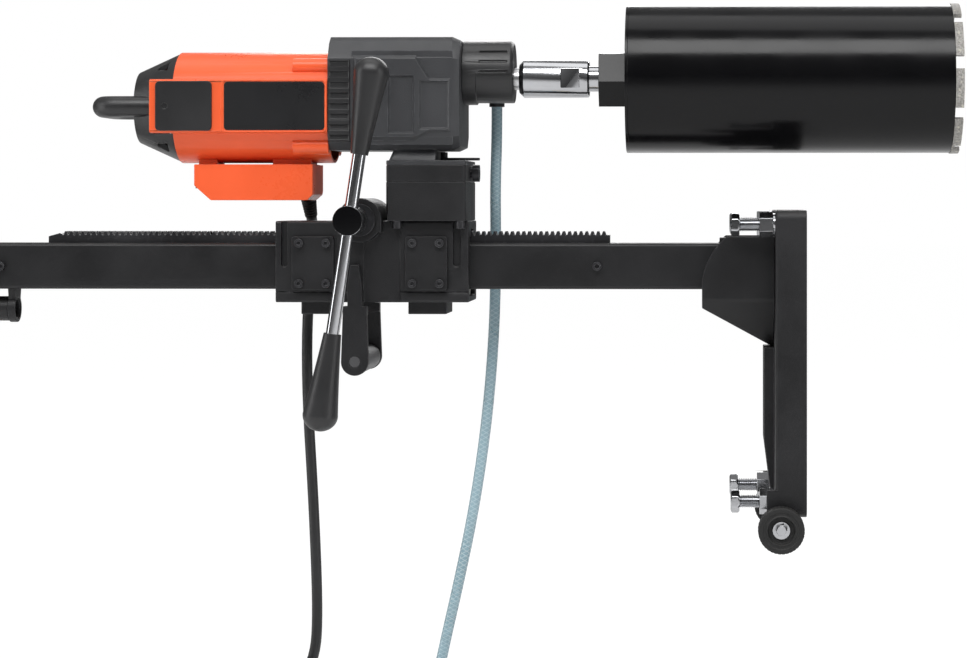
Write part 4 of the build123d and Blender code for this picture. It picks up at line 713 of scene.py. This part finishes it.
# ---- stage -------------------------------------------------------------------------------------------
class RIG_OT_stage(Operator):
    """Makes the camera, the plain floor and the soft light"""

    bl_idname = "rig.stage"
    bl_label = "Stage"

    def execute(self, context):
        settings = context.scene.rig_stage
        scene = context.scene
        scene.view_settings.view_transform = "Standard"
        data = bpy.data.cameras.new("camera")
        data.lens = settings.lens
        data.sensor_width = SENSOR_WIDTH
        data.shift_x = settings.shift_side
        data.shift_y = settings.shift_up
        camera = bpy.data.objects.new("camera", data)
        camera.location = settings.camera_place
        camera.rotation_euler = (math.pi / 2, 0.0, settings.turn)
        scene.collection.objects.link(camera)
        scene.camera = camera
        self.floor(scene, settings)
        self.sky(scene, settings)
        lamps = (
            ("key", (-0.5, -2.0, 2.55), (-0.4, 0.0, 0.1), (3.4, 1.2), settings.key_power),
            ("overhead", (-0.3, 0.2, 2.4), (-0.35, 0.0, 0.0), (2.6, 1.2), settings.top_power),
            ("strip_right", (2.2, -1.2, 0.6), (-0.3, 0.0, 0.1), (0.5, 2.2), settings.strip_power),
            ("strip_left", (-2.6, -0.6, 0.4), (-0.5, 0.0, 0.1), (0.5, 2.2), settings.strip_power),
            ("back", (0.0, 3.0, 1.6), (-0.3, 0.0, 0.1), (2.4, 1.0), settings.key_power * BACK_SHARE),
        )
        for name, place, aim, size, power in lamps:
            self.light(scene, name, place, aim, size, power)
        return {"FINISHED"}

    def light(self, scene, name, place, aim, size, power):
        """A soft rectangle of light that looks at a point."""
        data = bpy.data.lights.new(name, "AREA")
        data.shape = "RECTANGLE"
        data.size, data.size_y = size
        data.energy = power
        lamp = bpy.data.objects.new(name, data)
        lamp.location = place
        lamp.rotation_euler = (Vector(aim) - Vector(place)).to_track_quat("-Z", "Y").to_euler()
        scene.collection.objects.link(lamp)

    def floor(self, scene, settings):
        """A large flat floor under the lowest point, pale and even where it is seen."""
        half = settings.floor_size / 2
        low = cad_box[0].z - FLOOR_GAP
        corners = [(-half, -half, low), (half, -half, low), (half, half, low), (-half, half, low)]
        mesh = bpy.data.meshes.new("floor")
        mesh.from_pydata(corners, [], [(0, 1, 2, 3)])
        floor = bpy.data.objects.new("floor", mesh)
        scene.collection.objects.link(floor)
        material = bpy.data.materials.new("floor_paint")
        material.use_nodes = True
        tree = material.node_tree
        tree.nodes.clear()
        out = node(tree, "ShaderNodeOutputMaterial")
        paint = node(tree, "ShaderNodeBsdfDiffuse", {"Color": (*settings.floor_colour, 1.0)})
        glow = node(tree, "ShaderNodeEmission", {"Strength": FLOOR_GLOW})
        seen = node(tree, "ShaderNodeLightPath")
        share = sums(tree, "MULTIPLY", seen.outputs["Is Camera Ray"], GLOW_SHARE)
        mix = node(tree, "ShaderNodeMixShader", {0: share, 1: paint.outputs[0], 2: glow.outputs[0]})
        tree.links.new(mix.outputs[0], out.inputs["Surface"])
        mesh.materials.append(material)
        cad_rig.stage(floor)

    def sky(self, scene, settings):
        """Even light all round, brighter from above, behind a pale background."""
        world = bpy.data.worlds.new("sky")
        scene.world = world
        world.use_nodes = True
        tree = world.node_tree
        tree.nodes.clear()
        out = node(tree, "ShaderNodeOutputWorld")
        seen = node(tree, "ShaderNodeLightPath")
        place = node(tree, "ShaderNodeTexCoord")
        split = node(tree, "ShaderNodeSeparateXYZ", {0: place.outputs["Generated"]})
        height = ramp(tree, split.outputs["Z"], 0.0, 0.8, 0.5, 2.0)
        power = sums(tree, "MULTIPLY", height, settings.sky_light)
        light = node(tree, "ShaderNodeBackground", {"Color": WHITE, "Strength": power})
        pale = node(tree, "ShaderNodeBackground", {"Color": WHITE, "Strength": 1.0})
        mix = node(tree, "ShaderNodeMixShader",
                   {0: seen.outputs["Is Camera Ray"], 1: light.outputs[0], 2: pale.outputs[0]})
        tree.links.new(mix.outputs[0], out.inputs["Surface"])


# ---- cords -------------------------------------------------------------------------------------------
mains_points = [
    (-0.549, 0.0542132, 0.1567868), (-0.549, 0.0669411, 0.1440589), (-0.5502, 0.0763, 0.1245),
    (-0.5526, 0.0832, 0.095), (-0.5586, 0.086, 0.042), (-0.5582, 0.0835, -0.045), (-0.552, 0.0845, -0.150),
    (-0.5476, 0.083, -0.240), (-0.5466, 0.085, -0.300), (-0.549, 0.0865, -0.338), (-0.560, 0.0885, -0.364),
    (-0.580, 0.090, -0.3845), (-0.606, 0.091, -0.3936), (-0.634, 0.091, -0.394),
]
hose_points = [
    (-0.340, 0.047, 0.277), (-0.340, 0.047, 0.240), (-0.3424, 0.053, 0.190), (-0.342, 0.058, 0.110),
    (-0.344, 0.0585, 0.020), (-0.3526, 0.058, -0.080), (-0.367, 0.059, -0.175), (-0.384, 0.058, -0.256),
    (-0.396, 0.058, -0.308), (-0.4035, 0.055, -0.344), (-0.409, 0.043, -0.369), (-0.4125, 0.023, -0.387),
    (-0.414, -0.003, -0.3936), (-0.413, -0.032, -0.394),
]


FIRST_TURN = -0.394
LOWER_TURNS = -0.3923
UPPER_TURNS = -0.3803
LEAN = 0.006


def coil_points(centre, start, radii, heights, ease, turns, per_turn):
    """Turns of a coil. In the first share ease[k] of turn k the radius goes from radii[k] to radii[k + 1] and
    the height from heights[k] to heights[k + 1] along a smooth step. A turn that climbs leans inwards on the
    way."""
    angle = np.arange(1, round(turns * per_turn) + 1) * (2 * np.pi / per_turn)
    turn = np.minimum((angle / (2 * np.pi)).astype(int), len(radii) - 2)
    share = np.clip((angle / (2 * np.pi) - turn) / np.asarray(ease)[turn], 0.0, 1.0)
    smooth = share**2 * (3 - 2 * share)
    radii = np.asarray(radii)
    heights = np.asarray(heights)
    lean = (heights[turn + 1] - heights[turn] > LEAN) * LEAN
    radius = radii[turn] + (radii[turn + 1] - radii[turn]) * smooth - lean * np.sin(np.pi * smooth)
    height = heights[turn] + (heights[turn + 1] - heights[turn]) * smooth
    around = start + angle
    across_x = centre[0] + radius * np.cos(around)
    across_y = centre[1] + radius * np.sin(around)
    return np.stack([across_x, across_y, height], axis=1)


def spline_tube(name, points, diameter, slot, look):
    """A round tube on one open smooth spline, riding on the carriage. Each point holds the tube's radius."""
    curve = bpy.data.curves.new(name, "CURVE")
    curve.dimensions = "3D"
    curve.bevel_depth = 1.0
    curve.bevel_resolution = 5
    curve.use_fill_caps = True
    curve.resolution_u = 4
    spline = curve.splines.new("NURBS")
    spline.points.add(len(points) - 1)
    flat = np.concatenate([np.asarray(points), np.ones((len(points), 1))], axis=1).ravel()
    spline.points.foreach_set("co", flat.astype(np.float32))
    spline.points.foreach_set("radius", np.full(len(points), diameter / 2, dtype=np.float32))
    spline.order_u = 3
    spline.use_endpoint_u = True
    piece = new_piece(name, curve, "carriage", slot)
    curve.materials.clear()
    curve.materials.append(finishes[look])
    return piece


class RIG_OT_cords(Operator):
    """Makes the mains cord and the water hose, each with its coil, its end piece and its tie"""

    bl_idname = "rig.cords"
    bl_label = "Cords"

    def execute(self, context):
        settings = context.scene.rig_cords
        pieces = context.scene.rig_pieces
        edges = context.scene.rig_edges
        low = LOWER_TURNS
        high = UPPER_TURNS
        coil = coil_points(
            (-0.634, 0.0009), math.pi / 2, [0.0901, 0.0773, 0.0652, 0.053, 0.053, 0.0652, 0.077],
            [FIRST_TURN, low, low, low, high, high, high], [0.5] * 6, 5.5, settings.points_per_turn)
        tail = [(-0.612, -0.0761, -0.381), (-0.5895, -0.0761, -0.382)]
        line = np.concatenate([mains_points, coil, tail])
        cord = spline_tube("mains_cord_line", line, settings.diameter, "black_rubber", "cord_sheath")
        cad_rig.replaces(cord, "mains_cord", "mains_coil")
        relief = self.strain_relief(pieces)
        plug = soften("mains_plug", edges.plastic, "mains_plug_body")
        pins = self.pins()
        tie = soften("mains_tie", edges.fine, "mains_tie_strap")
        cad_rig.cord(cord, exit=tuple(mains_points[0]), length=settings.mains_length, diameter=settings.diameter,
                far_end="plug", stiffness="medium", lay="loose", with_pieces=[plug, pins, tie, relief])
        coil = coil_points(
            (-0.3299, -0.032), math.pi, [0.0831, 0.071, 0.059, 0.059, 0.071],
            [FIRST_TURN, low, low, high, high], [0.5, 0.5, 0.5, 0.25], 3.25, settings.points_per_turn)
        tail = [(-0.312, -0.103, -0.381), (-0.299, -0.103, -0.385), (-0.28715, -0.103, -0.387)]
        line = np.concatenate([hose_points, coil, tail])
        hose = spline_tube("water_hose_line", line, settings.diameter, "hose_plastic", "hose_plastic")
        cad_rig.replaces(hose, "water_hose", "hose_coil")
        connector = soften("hose_connector", edges.small, "hose_connector_body")
        tie = soften("hose_tie", edges.fine, "hose_tie_strap")
        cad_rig.cord(hose, exit=tuple(hose_points[0]), length=settings.hose_length, diameter=settings.diameter,
                far_end="connector", stiffness="medium", lay="loose", with_pieces=[connector, tie])
        return {"FINISHED"}

    def strain_relief(self, settings):
        """Tapered ribbed sleeve: the radius falls from 8.9 to 7 mm and waves once for each rib."""
        length = 29.5
        root = 8.9
        taper = 1.9
        rib = 0.8
        share = np.linspace(0.0, 1.0, 120)
        wave = 0.5 + 0.5 * np.cos(share * settings.rib_count * 2 * np.pi)
        radius = root - taper * share - rib * wave * (share > 0.12) * (share < 0.97)
        rows = turned(share * length, radius, (-549.0, 33.2, 177.8), (0.0, 1.0, -1.0), 40)
        piece = new_piece("strain_relief", skin("strain_relief", rows), "carriage", "black_rubber")
        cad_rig.replaces(piece, "cord_gland")
        return piece

    def pins(self):
        """Two bright round pins with rounded tips over the plug's own."""
        length = 19.0
        radius = 2.45
        apart = 9.5
        line = rounded([(0.0, 0.0), (0.0, radius), (length, radius), (length, 0.0)], [0, 0.4, 1.6, 0])
        pins = [skin("plug_pin", lathe(line, (-537.6, -76.1 + side * apart, -382.0), (1, 0, 0), 24))
                for side in (-1, 1)]
        return new_piece("plug_pins", joined("plug_pins", pins), "carriage", "bright_steel")


# ---- pieces ------------------------------------------------------------------------------------------
class RIG_OT_stand(Operator):
    """Rounds the edges of the stand's base, column, gusset, rack and handle"""

    bl_idname = "rig.stand"
    bl_label = "Stand"

    def execute(self, context):
        edges = context.scene.rig_edges
        soften_all(
            base_plate=edges.casting,
            gusset_bracket=edges.casting,
            column=edges.plate,
            column_end_cap=edges.plastic,
            rack=edges.fine,
            column_screws=edges.fine,
            carry_handle_brackets=edges.plate,
            carry_handle_grip=edges.plastic,
            levelling_nuts=edges.small,
            wheel_bolts=edges.small,
        )
        return {"FINISHED"}


class RIG_OT_wheels(Operator):
    """Makes the two rubber wheels: a rounded profile with shallow grooves across and one seam round it"""

    bl_idname = "rig.wheels"
    bl_label = "Wheels"

    def execute(self, context):
        settings = context.scene.rig_pieces
        around = 288
        slope = 1.2
        seam = 0.5
        for name, body, side in (("wheel_near", "near_wheel", -1), ("wheel_far", "far_wheel", 1)):
            low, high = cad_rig.box(name)
            middle = (low + high) / 2 / MM
            inner = (low.y if side > 0 else high.y) / MM
            wheel = (high.z - low.z) / 2 / MM
            width = (high.y - low.y) / MM
            loop = [
                (0.0, 6.4), (0.0, 17.0), (0.8, 18.0), (0.8, 20.0), (0.0, 21.0), (0.0, wheel), (width, wheel),
                (width, 19.5), (width - 0.8, 18.8), (width - 0.8, 16.4), (width, 15.6), (width, 14.6),
                (width - 7.0, 13.8), (width - 7.6, 6.4),
            ]
            turns = [0.2, 0.3, 0.4, 0.4, 0.3, 3.0, 3.0, 0.4, 0.4, 0.4, 0.4, 0.8, 1.2, 0.2]
            line = rounded(loop, turns, 7, closed=True)
            angle = np.linspace(0.0, 2 * np.pi, around, endpoint=False)
            groove = np.clip(1.6 * np.cos(angle * settings.tread_blocks) - 0.9, 0.0, 1.0)
            band = np.clip((line[:, 1] - wheel + slope) / slope, 0.0, 1.0)
            middle_band = np.exp(-((line[:, 0] - width / 2) ** 2))
            radius = line[:, 1][:, None] - band[:, None] * groove[None] * settings.tread_depth / MM
            radius = radius - (band * middle_band)[:, None] * seam
            rows = turned(line[:, 0], radius, (middle.x, inner, middle.z), (0, side, 0), around)
            mesh = skin(name + "_tyre", rows, ring=True)
            piece = new_piece(name + "_tyre", mesh, body, "black_rubber")
            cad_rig.replaces(piece, name)
        return {"FINISHED"}


class RIG_OT_feet(Operator):
    """Makes the four levelling screws, with chamfered hexagon heads and cut threads"""

    bl_idname = "rig.feet"
    bl_label = "Levelling screws"

    def execute(self, context):
        settings = context.scene.rig_pieces
        for corner in ("upper_near", "upper_far", "lower_near", "lower_far"):
            cad = "levelling_screw_" + corner
            low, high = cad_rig.box(cad)
            middle = (low + high) / 2 / MM
            rows = self.screw_rows(low.x / MM, high.x / MM, middle.y, middle.z, settings)
            piece = new_piece(cad + "_threaded", skin(cad, rows), "foot_" + corner, "bright_steel")
            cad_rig.replaces(piece, cad)
        return {"FINISHED"}

    def screw_rows(self, left, right, y, z, settings):
        """Rings along the screw. On the head the radius is the lesser of the hexagon and a chamfer. On the
        shank it is the crest less the thread depth times a folded wave of (along / pitch - turn)."""
        around = 72
        rings_per_turn = 12
        length = right - left
        flats = 21.0
        head_end = 9.5
        crest = 6.98
        tip_length = 2.0
        tip_drop = 1.6
        pitch = settings.thread_pitch / MM
        depth = settings.thread_depth / MM
        head = np.array([0.0, 0.02, 1.1, 2.0, 7.5, 8.4, head_end])
        limit = np.array([8.0, 9.4, 11.4, 12.2, 12.2, 11.7, 10.6])
        head_radius = np.minimum(hexagon_radius(flats, around)[None], limit[:, None])
        shank = np.linspace(head_end + 0.02, length, int((length - head_end) / pitch * rings_per_turn))
        angle = np.linspace(0.0, 2 * np.pi, around, endpoint=False)
        phase = (shank[:, None] / pitch - angle[None] / (2 * np.pi)) % 1.0
        wave = np.clip(1.15 * np.abs(2 * phase - 1) - 0.05, 0.0, 1.0)
        tip = np.clip((length - shank) / tip_length, 0.0, 1.0)[:, None]
        radius = crest - depth * wave - tip_drop * (1 - tip)
        along = np.concatenate([head, shank])
        return turned(along, np.concatenate([head_radius, radius]), (left, y, z), (1, 0, 0), around)


class RIG_OT_carriage(Operator):
    """Rounds the edges of the carriage, its covers, shoes, lower handle and mounting block"""

    bl_idname = "rig.carriage"
    bl_label = "Carriage"

    def execute(self, context):
        edges = context.scene.rig_edges
        soften_all(
            carriage_housing=edges.casting,
            guide_covers=edges.plate,
            slide_shoes=edges.plate,
            carriage_screws=edges.fine,
            handle_legs=edges.casting,
            handle_grip=edges.plastic,
            mount_block=edges.casting,
            adapter_plate=edges.casting,
            crank_sleeve=edges.small,
            clamp_lever=edges.plate,
        )
        return {"FINISHED"}


class RIG_OT_crank(Operator):
    """Makes the crank: knobs, bar and hub with its black face"""

    bl_idname = "rig.crank"
    bl_label = "Crank"

    def execute(self, context):
        edges = context.scene.rig_edges
        soften("crank_hub", edges.small)
        tilt = math.radians(8.5)
        direction = np.array((math.sin(tilt), 0.0, math.cos(tilt)))
        low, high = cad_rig.box("crank_bar")
        middle = np.array((low + high) / 2) / MM
        radius = 7.0
        reach = ((high.z - low.z) / MM / 2 - radius * math.sin(tilt)) / direction[2]
        line = rounded([(0, 0), (0, radius), (2 * reach, radius), (2 * reach, 0)], [0, 1.2, 1.2, 0])
        rows = lathe(line, middle - direction * reach, direction, 64)
        bar = new_piece("crank_bar_rod", skin("crank_bar_rod", rows), "bar", "bright_steel")
        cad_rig.replaces(bar, "crank_bar")
        self.knobs(direction)
        radius = 15.4
        thick = 0.9
        face = rounded([(0, 0), (0, radius), (thick, radius), (thick, 0)], [0, 0.1, 0.5, 0])
        rows = lathe(face, (-479.3, -150.8, 151.6), (0, -1, 0), 72)
        new_piece("hub_face", skin("hub_face", rows), "crank", "bit_paint")
        return {"FINISHED"}

    def knobs(self, direction):
        """Two bored club-shaped knobs: a cone whose radius is root + root * (0.8 s + 0.2 s^2), then a dome
        that is a quarter of an ellipse."""
        low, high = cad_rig.box("crank_knobs")
        middle = np.array((low + high) / 2) / MM
        half = (high.z - low.z) / MM / 2
        reach = (half - 5.0 * abs(direction[0]) - 0.2) / direction[2]
        root = 9.25
        cone_length = 86.0
        dome_length = 17.0
        bore_radius = 7.15
        share = np.linspace(0.0, 1.0, 40)
        cone = np.stack([cone_length * share, root + root * (0.8 * share + 0.2 * share**2)], axis=1)
        turn = np.linspace(0.0, np.pi / 2, 24)[1:]
        dome_radius = np.maximum(2 * root * np.cos(turn), 2 * POLE)
        dome = np.stack([cone_length + dome_length * np.sin(turn), dome_radius], axis=1)
        bore = [(cone_length + 1.0, 2 * POLE), (cone_length, bore_radius), (0.6, bore_radius), (0.0, 8.0)]
        line = np.concatenate([cone, dome, bore])
        knobs = []
        for side in (-1, 1):
            start = middle + direction * side * (reach - cone_length - dome_length)
            rows = turned(line[:, 0], line[:, 1], start, direction * side, 72)
            knobs.append(skin("knob", rows, ring=True))
        pair = joined("crank_knobs_pair", knobs)
        pair.set_sharp_from_angle(angle=KNOB_SMOOTH_ANGLE)
        piece = new_piece("crank_knobs_pair", pair, "bar", "black_plastic")
        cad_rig.replaces(piece, "crank_knobs")


class RIG_OT_drill(Operator):
    """Rounds the edges of the drill motor, gearbox, caps, grip and switch box, and frames the plates"""

    bl_idname = "rig.drill"
    bl_label = "Drill motor"

    def execute(self, context):
        edges = context.scene.rig_edges
        soften_all(
            gearbox_housing=edges.casting,
            motor_housing=edges.plastic,
            rear_cap=edges.plastic,
            rear_grip=edges.plastic,
            brush_covers=edges.plate,
            rating_plate=edges.fine,
            switch_box=edges.plastic,
            power_switch=edges.small,
            water_collar=edges.plastic,
            water_elbow=edges.small,
        )
        for side in (-1, 1):
            self.plate_frame(side)
            self.gear_relief(side)
            self.louvres(side)
        return {"FINISHED"}

    def gear_relief(self, side):
        """Cast relief on the gearbox's side. Its height is 3 mm inside an outline that steps in towards the
        nose, falls off over a 3 mm bevel, and drops by 2.6 mm in two framed fields."""
        bevel = 3.0
        field_depth = 2.6
        x = np.linspace(-488.0, -379.0, 190)[:, None]
        z = np.linspace(233.0, 334.0, 180)[None, :]
        step = np.clip((x + 419.0) / 15.0, 0.0, 1.0)
        inside = np.minimum(328.0 - 23.5 * step - z, z - 238.5 - 8.0 * step)
        inside = np.minimum(inside, np.minimum(x + 486.0, -381.0 - x))
        rear_field = np.minimum(13.3 - np.abs(x + 434.1), 30.5 - np.abs(z - 276.0))
        nose_field = np.minimum(15.0 - np.abs(x + 398.7), 25.4 - np.abs(z - 275.3))
        fields = np.clip(np.maximum(rear_field, nose_field) / 1.6 + 0.5, 0.0, 1.0)
        height = bevel * np.clip(inside / bevel, -0.3, 1.0) - field_depth * fields
        self.relief("gear_relief", side, x, z, height, "gear_casting")

    def louvres(self, side):
        """Black cage of bars by the motor: the height is a flat-topped wave of the distance up the side."""
        left, right = -513.0, -489.5
        bottom, top = 236.0, 324.0
        bar_pitch = 11.4
        x = np.linspace(left, right, 40)[:, None]
        z = np.linspace(bottom, top, 240)[None, :]
        wave = np.clip(2.2 * np.cos((z - (bottom + top) / 2) * 2 * np.pi / bar_pitch) + 0.2, -1.0, 1.0)
        edge = np.minimum(np.minimum(x - left, right - x), np.minimum(z - bottom, top - z))
        rim = np.clip(1.0 - edge / 2.5, 0.0, 1.0)
        height = np.maximum(1.2 + 1.1 * wave, 2.4 * rim) * np.clip(edge / 0.8 + 0.2, 0.0, 1.0)
        self.relief("motor_louvres", side, x, z, height, "black_plastic")

    def relief(self, name, side, x, z, height, slot):
        """A closed plate: each row runs up its shaped face and down its flat back, sunk in the wall."""
        wall = 58.0
        back = 56.5
        shape = np.broadcast_shapes(x.shape, z.shape)
        face = side * np.broadcast_to(wall + height, shape)
        front = np.stack([np.broadcast_to(x, shape), face, np.broadcast_to(z, shape)], axis=-1)
        rear = front[:, [-1, 0]].copy()
        rear[..., 1] = side * back
        rows = np.concatenate([front, rear], axis=1) * MM
        label = name + ("_near" if side < 0 else "_far")
        new_piece(label, skin(label, rows), "carriage", slot)

    def plate_frame(self, side):
        """Raised rim round the blank plate: a small round section carried along a rectangle with round
        corners, whose points are corner centre + corner radius * (cos a, sin a)."""
        steps = 64
        half_length, half_height = 52.0, 23.2
        corner_radius = 4.3
        thick = 0.9
        face = 61.0
        middle_x, middle_z = -571.5, 274.5
        angle = (np.arange(steps) + 0.5) * (2 * np.pi / steps)
        outward = np.stack([np.cos(angle), np.sin(angle)], axis=1)
        centre = np.sign(outward) * (half_length, half_height)
        section = np.linspace(0, 2 * np.pi, 10, endpoint=False)
        reach = corner_radius + thick * np.cos(section)
        flat = centre[:, None] + outward[:, None] * reach[None, :, None]
        depth = np.broadcast_to(face + thick * np.sin(section), flat.shape[:2])
        rows = np.stack([flat[..., 0] + middle_x, side * depth, flat[..., 1] + middle_z], axis=-1) * MM
        name = "plate_rim_near" if side < 0 else "plate_rim_far"
        new_piece(name, skin(name, rows, ring=True), "carriage", "orange_plastic")


class RIG_OT_bit(Operator):
    """Rounds the edges of the chuck adapter, hub, barrel and segments of the core bit"""

    bl_idname = "rig.bit"
    bl_label = "Core bit"

    def execute(self, context):
        edges = context.scene.rig_edges
        soften_all(
            bit_adapter=edges.small,
            bit_hub=edges.small,
            bit_barrel=edges.small,
            bit_segments=edges.fine,
        )
        return {"FINISHED"}


# ---- panel and registration ----------------------------------------------------------------------------
operators = (
    RIG_OT_finishes,
    RIG_OT_stage,
    RIG_OT_cords,
    RIG_OT_stand,
    RIG_OT_wheels,
    RIG_OT_feet,
    RIG_OT_carriage,
    RIG_OT_crank,
    RIG_OT_drill,
    RIG_OT_bit,
)


class RIG_PT_panel(Panel):
    """Lists the steps that build the looks of the rig"""

    bl_label = "Drill Rig"
    bl_idname = "RIG_PT_panel"
    bl_space_type = "VIEW_3D"
    bl_region_type = "UI"
    bl_category = "Drill Rig"

    def draw(self, context):
        for step in operators:
            self.layout.operator(step.bl_idname)


settings_groups = {
    "rig_stage": StageSettings,
    "rig_edges": EdgeSettings,
    "rig_finishes": FinishSettings,
    "rig_cords": CordSettings,
    "rig_pieces": PieceSettings,
}


def register():
    """Registers the settings, the steps and the panel."""
    for name, group in settings_groups.items():
        bpy.utils.register_class(group)
        setattr(bpy.types.Scene, name, PointerProperty(type=group))
    for step in operators:
        bpy.utils.register_class(step)
    bpy.utils.register_class(RIG_PT_panel)


def unregister():
    """Takes back what register did, in the opposite order."""
    bpy.utils.unregister_class(RIG_PT_panel)
    for step in reversed(operators):
        bpy.utils.unregister_class(step)
    for name, group in reversed(settings_groups.items()):
        delattr(bpy.types.Scene, name)
        bpy.utils.unregister_class(group)


def main():
    """Builds everything in order, then writes the sizes of both models."""
    register()
    bpy.ops.rig.finishes()
    bpy.ops.rig.stage()
    bpy.ops.rig.cords()
    bpy.ops.rig.stand()
    bpy.ops.rig.wheels()
    bpy.ops.rig.feet()
    bpy.ops.rig.carriage()
    bpy.ops.rig.crank()
    bpy.ops.rig.drill()
    bpy.ops.rig.bit()
    bpy.context.view_layer.update()
    visual_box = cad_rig.bounds()
    sizes = {"cad": [list(corner) for corner in cad_box], "visual": [list(corner) for corner in visual_box]}
    with open(SIZE_FILE, "w") as file:
        json.dump(sizes, file)


if __name__ == "__main__":
    main()
